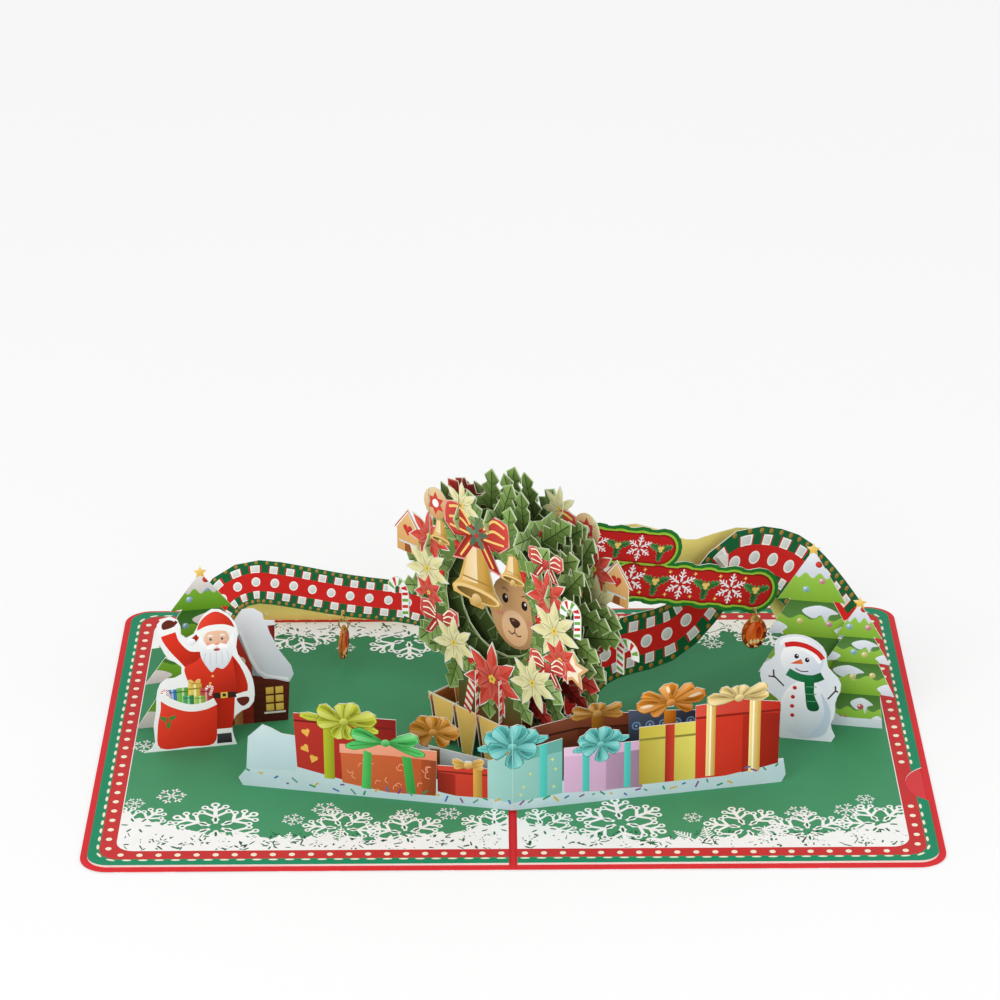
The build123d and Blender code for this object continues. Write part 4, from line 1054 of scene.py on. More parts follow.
def page_shapes(side, inks):
    """Print of one page: green field with snow along both long edges, large flakes and a striped border. The
    field's green is painted lighter towards the front and darker towards the rear as painted light and shade.
    """
    pen = Pen()
    rng = random.Random(11 if side < 0 else 23)
    green = print_ink(inks.page_green)
    for profile, edge in ((FRONT_SNOW[side], -90), (REAR_SNOW, 90)):
        line = drift(rng, profile)
        pen.poly(scaled(line + [(141, edge), (0, edge)], side, 1), WHITE)
    for sign in (-1, 1):
        for n in range(7):
            x, y = 8 + 19.5 * n + rng.uniform(-4, 4), sign * rng.uniform(81, 84.5)
            hub = pen.at(side * x, y, rng.uniform(0, 60))
            reach = rng.uniform(2, 3.4)
            for k in range(6):
                arm = hub.at(0, 0, 60 * k)
                arm.oval(0.62 * reach, 0, 0.36 * reach, 0.11 * reach, shade(green, 0.7), sides=6)
        for n in range(170):
            x, y = rng.uniform(3, 138), sign * rng.uniform(76, 88)
            speck = pen.at(side * x, y, rng.uniform(0, 180))
            wide, high = rng.uniform(0.5, 2.3), rng.uniform(0.2, 0.55)
            speck.oval(0, 0, wide, high, shade(green, rng.uniform(0.5, 0.9)), sides=6)
    for n in range(16):
        x, low = rng.uniform(3, 137), rng.uniform(81, 85)
        for sign in (-1, 1):
            fern(pen.at(side * x, sign * low, rng.uniform(40, 140) * -sign), rng.uniform(6, 10), WHITE)
    for x, y, radius, turn in LARGE_FLAKES[side]:
        snow_star(pen.at(x, y, turn), radius, WHITE)
        for n in range(6):
            gap = pen.at(x, y, turn + 60 * n + 30)
            gap.oval(0.3 * radius, 0, 0.1 * radius, 0.032 * radius, shade(green, 0.8), sides=8)
    red, hem_green = print_ink(inks.border_red), print_ink(inks.border_green)
    for outer, inner, ink in ((9.9, 9.5, WHITE), (9.6, 3.6, red), (4, -1, hem_green)):
        pen.poly(border_line(side, outer, 1) + border_line(side, inner, 1)[::-1], ink)
    # Painted light and shade: the field runs from a lighter green at the front to a darker one at the rear,
    # leaning towards the left on both pages.
    return pen.shapes, fade(green, 1.12, 0.92, 75 if side < 0 else 85)


def print_page(name, side, inks):
    """Prints a page over its glued flaps."""
    shapes, paper = page_shapes(side, inks)
    cutting = Cutting()
    cutting.add(level(PAGE_TOP), front_of(name, level(PAGE_TOP)), shapes, paper, STOCK, False)
    flaps = front_of(name, level(COVER_TOP))
    cutting.add(level(PAGE_TOP - STOCK - HAIR), flaps, [], CORE, STOCK - 2 * HAIR)
    piece = cutting.piece(name + "_print", finish("printed card"))
    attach(piece, "card")
    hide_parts(name)


# Gifts

def gift_box(pen, outline, split, ink, lid=0):
    """Box with a light and a dark side that meet at split, and a lid drawn with a shadow line."""
    pen.poly(outline, fade(ink, 1.06, 0.92))
    xs, ys = zip(*outline)
    low, high = min(ys), max(ys)
    right = [(x, y) for x, y in outline if x >= split - 0.1]
    tops = [p for p in right if p[1] > (low + high) / 2]
    feet = [p for p in right if p[1] <= (low + high) / 2]
    if tops and feet:
        foot = max(x for x, y in feet), min(y for x, y in feet)
        corner = max(tops, key=lambda p: p[0])
        pen.poly([(split, low + 0.6), foot, corner, (split, max(y for x, y in tops))], fade(ink, 0.84, 0.7))
    if lid:
        pen.box(min(xs), high - lid - 0.7, max(xs), high - lid, shade(ink, 0.62))


def front_row_shapes(inks):
    """Seven gifts in the snow, in the strip's plane with its fold at x = 0."""
    pen = Pen()
    gold = print_ink(inks.gold)
    pen.poly([(-100, 0), (-100, 6), (-60, 3), (0, 1.4), (60, 3), (100, 6), (100, 0)], (188, 208, 214))
    pen.poly([(-99, 7), (-96, 20), (-91, 25), (-84, 22), (-79, 21.5), (-79, 8)],
             ((196, 216, 219), (178, 202, 207), -70))
    maroon = (172, 38, 28)
    gift_box(pen, [(-79.5, 31.4), (-42, 32.2), (-42, 6), (-57, 5), (-78.6, 9.6)], -54, maroon, 3.4)
    pen.box(-68.6, 6, -64.8, 31.6, ((176, 186, 46), (140, 150, 30), 0))
    for x, y, turn in (
            (-75, 24, 15), (-72.5, 13.5, -20), (-61, 19, 30),
            (-60.5, 11, -15), (-75.4, 17.5, 40), (-47, 20, 0)):
        heart = pen.at(x, y, turn)
        for lobe in (-0.7, 0.7):
            heart.disc(lobe, 0.5, 0.85, gold, sides=10)
        heart.poly([(-1.4, 0.1), (0, -1.9), (1.4, 0.1)], gold)
    ribbon_bow(pen.at(-61, 29.5), OLIVE_BOW, (186, 194, 48))
    clay = (196, 90, 46)
    gift_box(pen, [(-62.6, 20), (-45, 21.5), (-27.4, 21), (-27.8, 3), (-45, 2.6), (-62, 5)], -33, clay)
    pen.poly([(-62.8, 17), (-45, 17.6), (-27.4, 17.2), (-27.4, 21.4), (-45, 21.8), (-62.8, 20.6)],
             ((232, 166, 138), (216, 132, 98), -60))
    rng = random.Random(5)
    for n in range(16):
        x, y = rng.uniform(-60, -30), rng.uniform(5, 15)
        curl = pen.at(x, y, rng.uniform(0, 180))
        curl.band([(-1.2, -0.5), (0, 0.5), (1.2, -0.4)], 0.28, (236, 158, 126), True)
    leaf = (70, 190, 86)
    pen.poly([(-55, 3.4), (-51.6, 3.2), (-51, 18), (-54, 19)], fade(leaf, 1.1, 0.8))
    pen.poly([(-38.4, 2.8), (-35, 3), (-36.6, 17.5), (-40, 18)], fade(leaf, 0.9, 0.74))
    ribbon_bow(pen.at(-46, 22.5), GREEN_BOW, leaf)
    brick = (200, 54, 36)
    gift_box(pen, [(-27.2, 15.5), (-4.7, 16), (-5, 4), (-20.7, 3.8), (-27, 5)], -8.5, brick, 2.4)
    pen.poly([(-27.2, 4.9), (-20.7, 3.8), (-20.7, 12.4), (-27.2, 12.8)], fade(brick, 0.62, 0.8))
    pen.box(-14.2, 3.9, -11, 15.8, fade(gold, 0.95, 0.72))
    ribbon_bow(pen.at(-16, 16.5), SMALL_BOW, gold)
    pen.poly([(-9, 19), (0, 23), (18.1, 27), (18.1, 5), (0, 3), (-9, 4)],
             ((156, 202, 195), (120, 178, 168), 0))
    pen.poly([(0, 19), (18.1, 22), (18.1, 27), (0, 23)], ((106, 168, 157), (94, 158, 147), 0))
    pen.box(9.8, 4, 12.6, 25.6, ((86, 196, 184), (70, 180, 170), 0))
    for x, y in ((4, 9), (6.5, 14), (15, 8), (15.6, 15), (3, 6), (14.5, 19)):
        pen.star(x, y, 0.8, (214, 214, 120), 4, 0.4)
    gift_box(pen, [(18.7, 23), (47.4, 22.8), (47.4, 5), (33.9, 4), (18.7, 5)], 34, (206, 166, 198))
    pen.poly([(18.7, 19.6), (34, 18.8), (47.4, 19.4), (47.4, 23), (18.7, 23)],
             ((222, 190, 214), (200, 160, 192), 0))
    for left, right in ((25.4, 28), (40.6, 43)):
        pen.box(left, 4.6, right, 22.8, TEAL_BAND)
    ribbon_bow(pen.at(32, 23, 0, 0.8), TEAL_BOW, TEAL)
    ribbon_bow(pen.at(0, 25.5), TEAL_BOW, TEAL)
    lemon = (228, 218, 92)
    pen.poly([(46.1, 28.2), (68.2, 28.3), (68.4, 5), (46.1, 5)], ((168, 148, 52), (224, 214, 104), 15))
    pen.box(45.8, 23.6, 68.6, 28.6, ((186, 168, 58), (220, 208, 96), 0))
    pen.box(46.1, 22.7, 68.3, 23.6, shade(lemon, 0.58))
    pen.box(55.6, 5, 59, 28.6, ((164, 40, 30), (196, 62, 44), 0))
    big = (202, 44, 24)
    gift_box(pen, [(66.6, 34.6), (82, 35.6), (97.8, 32.9), (97.5, 8), (78, 5), (66.8, 5)], 84, big)
    pen.poly([(66.4, 30), (82, 30.4), (97.8, 28.2), (97.8, 33), (82, 35.8), (66.4, 34.8)],
             fade(big, 1.16, 0.88))
    pen.box(66.6, 29.2, 97.6, 30, shade(big, 0.62))
    for left, right in ((70.6, 74), (86.4, 90.6)):
        pen.box(left, 5.6, right, 35, ((244, 222, 150), (196, 150, 66), 0))
        pen.box(left + 1.2, 5.6, left + 1.8, 35, (252, 244, 206))
    ribbon_bow(pen.at(82.5, 36), GOLD_BOW, (236, 206, 130))
    scraps = [(40, 140, 96), (206, 170, 60), (70, 110, 170), (130, 70, 140), (96, 150, 130)]
    for n in range(46):
        x = -96 + 4.3 * n + rng.uniform(-1.4, 1.4)
        y = 1.2 + rng.uniform(0.2, 3) + (3.4 if abs(x) > 84 else 0)
        scrap = pen.at(x, y, rng.uniform(-70, 70))
        scrap.box(-rng.uniform(0.5, 1.6), -0.34, rng.uniform(0.4, 1.5), 0.34, scraps[n % 5])
    pen.box(-0.1, 0, 0.1, 30, (172, 212, 208))
    return pen.shapes


def back_row_shapes():
    """Bronze rosette, brown gift and dotted gift behind the first row."""
    pen = Pen()
    bronze = (198, 126, 34)
    pen.box(-30, 2, -26.4, 16, fade(bronze, 0.9, 0.66))
    ribbon_bow(pen.at(-28.8, 22.5), BRONZE_BOW, (206, 134, 38))
    brown = (128, 62, 36)
    gift_box(pen, [(6.8, 26.5), (24, 29.5), (43.4, 28.7), (43.4, 5), (6.8, 5)], 24, brown)
    pen.poly([(6.8, 22.4), (24, 24.8), (43.4, 24), (43.4, 28.8), (24, 29.6), (6.8, 26.6)],
             fade(brown, 1.08, 0.9))
    pen.poly([(6.8, 21.6), (24, 24), (43.4, 23.2), (43.4, 24), (24, 24.8), (6.8, 22.4)], shade(brown, 0.55))
    pen.box(29, 5, 33.4, 29, fade(bronze, 0.86, 0.62))
    ribbon_bow(pen.at(31, 29.5), BROWN_BOW, (190, 128, 44))
    navy = (58, 70, 92)
    pen.poly([(42.5, 29.5), (72.5, 26.5), (72.5, 5), (42.5, 5)], fade(navy, 1.1, 0.8))
    rings = ((1.7, (122, 158, 200), 12), (1.1, navy, 10), (0.55, (150, 184, 216), 8))
    for n in range(6):
        for k in range(3):
            for radius, ink, sides in rings:
                pen.disc(45.4 + 5 * n + 2.5 * (k % 2), 9 + 7 * k, radius, ink, sides)
    pen.box(55.6, 5, 60, 28, ((228, 140, 40), (196, 104, 24), 0))
    bow = pen.at(58, 31)
    ribbon_bow(bow, ORANGE_BOW, (242, 150, 44))
    glint = [(0.5, 0.3), (0.75, 1), (0.9, 0.4), (0.7, -0.3)]
    for turn, length in ((182, 12.6), (12, 13.2), (98, 7.8)):
        bow.at(0, 0, turn).blob(scaled(glint, length, 1), (252, 232, 200), 4)
    return pen.shapes


# Figures

def santa_shapes(inks):
    """Bearded figure in red with a raised hand and a sack of gifts, inside a white cut edge."""
    pen = Pen()
    red = print_ink(inks.santa_red)
    dark, fur, skin = shade(red, 0.72), (240, 240, 238), (241, 196, 166)
    hair, glove, leather, brass = (250, 250, 250), (96, 40, 30), (54, 36, 30), (226, 184, 80)
    coat = [
        (-0.5, 33.5), (3.5, 35.5), (8, 39), (15, 38.5), (19.6, 32.5), (22.3, 24), (20.8, 19.4), (17.6, 19.6),
        (17.2, 20), (9.6, 19.8), (3, 22.5), (0.4, 28)]
    sleeve = [
        (4.4, 29), (-2.5, 36.6), (-7, 43), (-8.4, 47.6), (-3.8, 49), (-2.2, 44.6), (1.6, 40), (7.4, 38.4)]
    pen.blob(sleeve, fade(red, 1.04, 0.72, -40), 4)
    pen.blob(coat, fade(red, 1.06, 0.72, -70), 4)
    pen.poly([(17, 36), (19.6, 32.5), (22.2, 24), (20.4, 19.6), (18.4, 24)], fade(red, 0.72, 0.9))
    pen.band([(-8.9, 48), (-3, 49.6)], 2.4, fur)
    pen.blob([(-7.6, 49.6), (-8, 52), (-5.8, 53.4), (-3.4, 52.4), (-3.6, 50.6)], glove, 4)
    pen.band([(-3.9, 51.2), (-2.6, 52.6)], 1.2, glove)
    pen.poly([(9.6, 20), (17.4, 20), (16.4, 6), (10, 6)], fade(red, 0.72, 0.86))
    pen.poly([(10.2, 1), (15.8, 1), (15.6, 5.4), (10.4, 5.4)], ((44, 40, 44), (70, 64, 68), 90))
    pen.box(9.8, 5, 16.2, 7, fur)
    pen.band([(9.4, 20.9), (18.2, 20.6)], 2.3, leather)
    pen.box(12.2, 19.6, 14.8, 22, (222, 182, 84))
    pen.box(12.9, 20.2, 14.1, 21.4, leather)
    pen.band([(18, 19.6), (22.6, 20.6)], 2.3, fur)
    pen.blob([(18, 18.8), (20, 15.6), (22.4, 17), (22.2, 19.2)], glove, 4)
    sack = [
        (-10.6, 1.2), (-11.4, 9), (-10, 16.6), (-8.6, 22), (0.3, 16.6), (9.7, 18), (10.4, 9), (9, 1.2),
        (0, 0.8)]
    pen.blob(sack, fade(red, 1.1, 0.92, -50), 4)
    for x, low, wide, high, ink in (
            (-7.6, 20, 4.4, 5, (70, 130, 190)), (-3.8, 18.6, 4.6, 6.8, (110, 180, 70)),
            (0.4, 18, 5, 8.6, (236, 204, 84)), (4.8, 18.4, 4.2, 6, (196, 60, 60)),
            (-1.6, 17.6, 4, 4.4, (60, 160, 90)), (2.6, 17.4, 4, 4, (160, 200, 80))):
        pen.box(x, low, x + wide, low + high, fade(ink, 1.1, 0.78))
        pen.box(x + 0.42 * wide, low, x + 0.58 * wide, low + high, shade(ink, 1.5))
        pen.box(x, low + 0.72 * high, x + wide, low + 0.8 * high, shade(ink, 0.66))
    striped_bow(pen.at(2.8, 27), 4.6, (228, 170, 50), (250, 230, 160))
    for x in (-8.2, 8.2):
        candy_cane(pen.at(x, 24, 20 if x < 0 else -20), 4.2, (206, 50, 44), (206, 50, 44))
    pen.band([(-9.4, 22.6), (-6, 19.6), (0.3, 16.9), (6, 17), (10.2, 18.6)], 3, fur, True)
    holly = pen.at(-7.4, 12.4)
    for turn in (30, 150, 270):
        holly.at(0, 0, turn).poly(holly_points(3.4, 2.2), (58, 130, 60))
    berries(holly, 0.6, 0.5, (214, 52, 44), 8)
    head_x, head_y, tall = 11.5, 43.6, 11
    pen.blob([(5.3, 47.6), (4, 46.4), (1.9, 44.4), (3.2, 42.8), (5.6, 45.6), (6.2, 47)], dark, 4)
    pen.blob([(4.9, 47), (6.2, 52), (11.2, 55.2), (16.2, 52.2), (18, 47), (11.5, 48)],
             fade(red, 1.1, 0.8, -30), 4)
    pen.oval(head_x, head_y, 0.43 * tall, 0.46 * tall, fade(skin, 1, 0.9, -60))
    beard = [
        (5.4, 45.6), (5.2, 41), (5.8, 36.6), (7.6, 33), (9.4, 30.6), (11.2, 32.4), (13.4, 31.6), (15.8, 34),
        (17.3, 38), (17.8, 42), (17.5, 45.6), (15.9, 43), (14, 40.8), (9, 40.8), (7.2, 43)]
    pen.blob(beard, (hair, (206, 212, 220), -90), 4)
    for n, x in enumerate((7.4, 9.2, 11.2, 13.2, 15.2)):
        lock = [(x, 38.6), (x + 0.3 * (n - 2), 35.6), (x + 0.1 * (n - 2), 33.6)]
        pen.band(lock, 0.3, (200, 206, 214), True)
    nose = head_y - 0.12 * tall
    for x, turn in ((9.6, 14), (13.4, -14)):
        pen.oval(x, nose - 1.2, 2.2, 0.95, hair, turn)
    pen.oval(head_x, nose - 2.6, 1.2, 0.55, (170, 70, 60), sides=12)
    pen.oval(head_x, nose, 1, 0.8, ((246, 186, 156), (222, 140, 116), -60), sides=12)
    for side in (-1, 1):
        pen.oval(head_x + side * 2.1, head_y + 0.4, 0.46, 0.56, BLACK, sides=10)
        pen.disc(head_x + side * 2.1 + 0.14, head_y + 0.58, 0.15, WHITE, sides=6)
        pen.oval(head_x + side * 3.1, nose + 0.1, 0.9, 0.66, (236, 160, 140), sides=10)
        brow = [(head_x + side * x, head_y + y) for x, y in ((1.3, 1.7), (2.3, 2), (3.1, 1.6))]
        pen.band(brow, 0.5, (246, 246, 246), True)
    pen.band([(4.4, 46.4), (8, 48.2), (11.5, 48.6), (15, 48.2), (18.5, 46.4)], 2.5, fur, True)
    pen.disc(2.4, 43.6, 1.5, (hair, (216, 220, 226), -60), sides=14)
    for x, y in ((8.6, 26.2), (9.6, 29)):
        pen.disc(x, y, 0.5, brass, sides=8)
    return pen.shapes


def snowman_shapes(inks):
    """Snowman with a cap, a carrot nose, a green scarf and buttons."""
    pen = Pen()
    snow, blue = (250, 251, 253), (190, 204, 222)
    pen.oval(-0.5, 12.4, 9.4, 12, (snow, (196, 206, 222), -50), sides=26)
    pen.blob([(8.8, 12), (7, 3), (1, 1.2), (4.6, 6), (6.6, 12), (5, 20)], blue, 4)
    pen.oval(-2.2, 33, 8, 7.4, (snow, (204, 212, 226), -50), sides=24)
    cap = [
        (-10.6, 38), (-9.4, 41), (-4, 42.2), (2, 40.4), (5.6, 36.2), (3.6, 37.2), (-2.4, 39.8), (-7.4, 39.6)]
    pen.blob(cap, ((250, 250, 252), (216, 222, 232), -70), 4)
    pen.band([(-8.6, 38.2), (-5.2, 39), (-1, 38.4), (3, 36.2), (5.2, 33.6)], 2.4, (206, 40, 36), True)
    pen.band([(-9.2, 36.4), (-5.4, 37.4), (-1.4, 36.9), (2.2, 35), (4.4, 32.2)], 1.5, (250, 250, 252), True)
    for x, y in ((-4.3, 34.2), (-0.4, 33)):
        pen.oval(x, y, 0.85, 1, BLACK, sides=12)
        pen.disc(x + 0.25, y + 0.36, 0.28, WHITE, sides=6)
    pen.poly([(-2.6, 33.2), (-1.8, 31.2), (-6.6, 31)], ((228, 110, 50), (196, 60, 34), 180))
    pen.band([(-4.6, 29.2), (-2.4, 28.2), (0.2, 28.4)], 0.4, BLACK, True)
    scarf = print_ink(inks.scarf_green)
    pen.band([(-7.4, 27.6), (-3, 25.6), (2, 25.4), (5.4, 27)], 3.2, fade(scarf, 1.08, 0.8), True)
    pen.blob([(-1, 25.6), (2.2, 25.8), (2.6, 19), (4.6, 14), (3.4, 12.2), (0.4, 12.8), (-0.6, 18)],
             fade(scarf, 1, 0.74, -80), 4)
    for share in (0.2, 0.5, 0.8):
        pen.band([(-0.6, 24 - 10 * share), (3.4, 24.2 - 10 * share)], 0.35, shade(scarf, 1.3))
    for x, y in ((-4.6, 21.2), (-5.2, 17.4), (-5.4, 13.6), (-5.2, 9.8)):
        pen.disc(x, y, 0.8, ((214, 56, 48), (164, 30, 28), -60), sides=12)
    for twig in ([(-8.6, 21.6), (-12.6, 25.6)], [(-12, 25), (-14.4, 25.2)], [(-12.4, 25.4), (-12.6, 28)],
                 [(7.6, 17.6), (10.6, 21.6)], [(10.2, 21), (11.4, 21)], [(10.4, 21.4), (10.2, 23.2)]):
        pen.band(twig, 0.6, (70, 50, 42))
    return pen.shapes


def house_shapes():
    """Red house with a snowy roof, a chimney and a lit window."""
    pen = Pen()
    red, side = (186, 56, 40), (98, 42, 30)
    pen.poly([(-11.2, 0), (-12.2, 20), (-11, 31), (-7.4, 37), (-2.4, 24), (-2.4, 0)], fade(red, 1, 0.78, -70))
    pen.poly([(-2.4, 0), (10.6, 0), (11.6, 16.4), (-2.4, 20)], fade(side, 1, 0.74, -90))
    for n in range(5):
        pen.box(-11.6, 3 + 3.6 * n, -2.4, 3.3 + 3.6 * n, shade(red, 0.66))
        pen.box(-2.4, 2.6 + 3.2 * n, 11.2, 2.85 + 3.2 * n, shade(side, 0.66))
    pen.poly([(2, 31), (6.2, 31), (6.8, 41.4), (2.6, 41.4)], ((150, 44, 38), (112, 30, 28), 0))
    pen.box(2.2, 40, 7, 42.6, (226, 232, 238))
    roof = [
        (-13.4, 30), (-9.2, 42.4), (-5.6, 48), (-1, 48), (2.4, 45.4), (4.6, 37), (6.8, 32), (12.6, 22.8),
        (13.4, 18.6), (11.2, 15.8), (6, 17.6), (2, 18.2), (-0.6, 20.8), (-3, 26), (-6.6, 37.6), (-8.6, 35),
        (-11, 29.6)]
    eaves = [(-11.8, 30.6), (-8.4, 37.4), (-6.2, 39), (-2.6, 27.4), (0, 21.8), (3, 19.4), (11, 17.2)]
    pen.poly(roof, ((238, 242, 247), (204, 212, 222), -60))
    pen.band(eaves, 1, (240, 243, 246))
    for x in (2.4, 6):
        for n in range(3):
            pen.box(x, 4.6 + 3.5 * n, x + 2.9, 7.4 + 3.5 * n, ((240, 206, 104), (218, 172, 66), -60))
    pen.box(1.6, 3.4, 9.6, 4.2, (226, 226, 220))
    pen.box(-8.9, 9.9, -4.7, 16.7, (110, 36, 28))
    for x in (-8.6, -6.6):
        for n in range(2):
            pen.box(x, 10.2 + 3.4 * n, x + 1.6, 13 + 3.4 * n, (238, 200, 96))
    pen.disc(-6.8, 26, 1.7, (238, 200, 96), sides=14)
    pen.ring(-6.8, 26, 2.1, 0.5, (226, 226, 220))
    pen.box(-9.6, 0, -6.4, 5.6, ((214, 150, 88), (178, 108, 60), 0))
    return pen.shapes


def hem(left, right, low, deep, waves):
    """Wavy line from left to right that hangs down in the waves."""
    count = 8 * waves
    return [(left + (right - left) * n / count, low + deep * cos(2 * pi * n * waves / count))
            for n in range(count + 1)]


def fir_shapes(tip, tiers, foot, light, dark, snow, seed):
    """Fir with snow on its top and boughs, baubles and a star."""
    pen = Pen()
    rng = random.Random(seed)
    drift_ink = fade(snow, 1.2, 0.9, -70)
    heap_line = [(-0.02, 0.26), (-0.22, 0.36), (-0.46, 0.22), (-0.36, 0.1), (-0.3, -0.06)]
    patch_line = [
        (-0.3, 0.02), (0, 0.13), (0.3, 0), (0.16, -0.05), (0.1, -0.2), (0.02, -0.06), (-0.12, -0.13)]
    rows, top = [], (0, float(tip))
    for width, height in tiers + [(foot, 0)]:
        rows.append((*top, width, height))
        top = 0.62 * width, height + 0.6
    for n in reversed(range(len(rows))):
        narrow, high, wide, low = rows[n]
        deep = high - low
        pen.poly([(-wide, low), (wide, low), (narrow, high), (-narrow, high)], fade(light, 0.82, 1.12, 90))
        if n:
            under = 0.5 * (wide + narrow)
            edge = hem(-under, under, high - 0.48 * deep, 0.06 * deep, 3)
            pen.poly([(-narrow, high)] + edge + [(narrow, high)], fade(dark, 0.9, 1.1, -90))
            for side in (-1, 1):
                heap = pen.at(side * wide, low, 0, 1, side)
                heap.blob([(1, -0.8)] + scaled(heap_line, wide, deep), drift_ink, 4)
            patch = pen.at((0.2 if n % 2 else -0.24) * wide, high - 0.32 * deep, 0, 1.4)
            patch.blob(scaled(patch_line, wide, deep), drift_ink, 4)
        for side in (-1, 1):
            x, y = side * rng.uniform(0.1, 0.45) * wide, low + deep * rng.uniform(0.22, 0.6)
            ink = ((200, 60, 56), (226, 206, 112), (130, 180, 206), (206, 130, 136))[rng.randrange(4)]
            pen.disc(x, y, 1.2, fade(ink, 1.3, 0.78, -60), sides=14)
            pen.disc(x - 0.4, y + 0.42, 0.32, WHITE, sides=6)
    pen.box(-foot, -1, foot, 0.07 * tip if snow[2] > snow[0] else 0, drift_ink)
    first, reach = tip - 0.5 * (tip - tiers[0][1]), 0.62 * tiers[0][0]
    cap = hem(-reach, reach, first, 1.1, 3)
    pen.poly([(-1.3 * reach, first + 2)] + cap + [(1.3 * reach, first + 2), (0.8, tip + 1), (-0.8, tip + 1)],
             fade(snow, 0.9, 1.5, 90))
    pen.disc(0.28 * reach, first + 4.6, 1.3, ((214, 80, 66), (160, 36, 32), -60), sides=14)
    pen.star(0, tip, 2.6, ((250, 220, 120), (214, 160, 56), -60))
    return pen.shapes


# Banners and plaque

class Run:
    """Smooth line that is read by the distance along it."""

    def __init__(self, points):
        self.line = smooth(points, 10)
        self.marks = [0]
        for a, b in zip(self.line, self.line[1:]):
            self.marks.append(self.marks[-1] + dist(a, b))
        self.length = self.marks[-1]

    def spot(self, distance, offset):
        distance = min(max(distance, 0), self.length)
        n = 0
        while n < len(self.marks) - 2 and self.marks[n + 1] < distance:
            n += 1
        (ax, ay), (bx, by) = self.line[n], self.line[n + 1]
        span = (self.marks[n + 1] - self.marks[n]) or 1
        share = (distance - self.marks[n]) / span
        dx, dy = bx - ax, by - ay
        return ax + dx * share - dy / span * offset, ay + dy * share + dx / span * offset

    def patch(self, start, end, low, high, steps=2):
        along = [start + (end - start) * n / steps for n in range(steps + 1)]
        return [self.spot(s, low) for s in along] + [self.spot(s, high) for s in reversed(along)]


def ribbon_shapes(inks, run, start_width, end_width, pitch, dot_pitch):
    """Tartan ribbon: dark green hems with gold dots, white blocks and a row of white dots on red."""
    pen = Pen()
    red, green, gold = (print_ink(c) for c in (inks.ribbon_red, inks.ribbon_green, inks.ribbon_gold))
    steps = 60

    def half(s):
        return (start_width + (end_width - start_width) * s / run.length) / 2

    places = [run.length * n / steps for n in range(steps + 1)]
    lower, upper = ([run.spot(s, edge * half(s)) for s in places] for edge in (-0.76, 0.76))
    pen.poly(lower + upper[::-1], fade(red, 1.04, 0.94, 90))
    for n in range(int(run.length / pitch)):
        s = pitch * (n + 0.5)
        wide = half(s)
        rim = 0.04 * wide
        for side in (-1, 1):
            low, high = sorted((0.42 * side * wide, 0.76 * side * wide))
            pen.poly(run.patch(s - 0.32 * pitch, s + 0.14 * pitch, low, high), WHITE)
            pen.poly(run.patch(s - 0.27 * pitch, s + 0.09 * pitch, low + rim, high - rim),
                     fade(SILVER, 1, 0.9, -60))
            pen.poly(run.patch(s + 0.2 * pitch, s + 0.62 * pitch, low, high), green)
            for shift in (0, 0.5 * pitch):
                dot = run.spot(s + shift, 0.88 * side * wide)
                pen.disc(*dot, 0.085 * wide, fade(gold, 1.15, 0.8, -60), sides=12)
    for n in range(int(run.length / dot_pitch)):
        s = dot_pitch * (n + 0.5)
        for share, paint in ((0.215, WHITE), (0.165, fade(SILVER, 1, 0.88, -60))):
            pen.disc(*run.spot(s, 0), share * half(s), paint)
    return pen.shapes


def backing_shapes(ink):
    """Yellow sheet with soft shining flecks."""
    pen = Pen()
    rng = random.Random(3)
    for n in range(46):
        x, y, radius = rng.uniform(-5, 165), rng.uniform(0, 66), rng.uniform(0.6, 1.4)
        pen.star(x, y, radius, shade(ink, rng.choice((0.9, 1.5))), 4, 0.3)
    return pen.shapes


def tilted(along, out):
    """Point of the plaque's slanting grid in the plane of its sheet."""
    turn = radians(PLAQUE_TILT)
    return (PLAQUE_CORNER[0] + along * cos(turn) - out * sin(turn),
            PLAQUE_CORNER[1] + along * sin(turn) + out * cos(turn))


def plaque_shapes(inks):
    """Red plaque in two rows of lobes with a lime line, carrying snowflakes, holly and small stars."""
    pen = Pen()
    red = print_ink(inks.plaque_red)
    upper = [tilted(-6 + 8.7 * n, 20.8) for n in range(4)]
    lower = [tilted(11 + 10.3 * n, 7.8) for n in range(6)]
    rows = ((upper, 8.5, (-6, 20), (13, 28.5)), (lower, 9.3, (11, 62.5), (-0.5, 16)))
    for inset, ink in ((1.5, (150, 196, 60)), (2.4, shade(red, 0.72)), (3.1, red)):
        for lobes, radius, (left, right), (foot, top) in rows:
            low, high = foot + inset * 0.8, top - inset * 0.8
            pen.poly([tilted(left, low), tilted(right, low), tilted(right, high), tilted(left, high)], ink)
            for x, y in lobes:
                pen.disc(x, y, radius - inset, ink, sides=24)
    for lobes, leaf_size, flake in ((upper, 1, 5.2), (lower, 1.15, 6.2)):
        for n, (x, y) in enumerate(lobes):
            motif = pen.at(x, y, PLAQUE_TILT)
            if n % 2:
                sprig(motif, leaf_size)
            else:
                snow_star(motif, flake, (244, 244, 246), False)
    for n in range(5):
        for out in (12.4, 3.2):
            pen.star(*tilted(16 + 10.3 * n, out), 0.9, PALE_GOLD, 4, 0.4)
    return pen.shapes


def sprig(pen, size):
    """Three holly leaves and three berries."""
    for turn, ink in ((20, (60, 140, 66)), (160, (70, 150, 74)), (270, (52, 124, 58))):
        holly_leaf(pen.at(0, 0, turn, size), 5, 3.4, ink)
    berries(pen.at(0, 0.3, 30, size), 0.75, 0.7, ((250, 226, 130), (222, 176, 70), -60))


# Wreath and pot

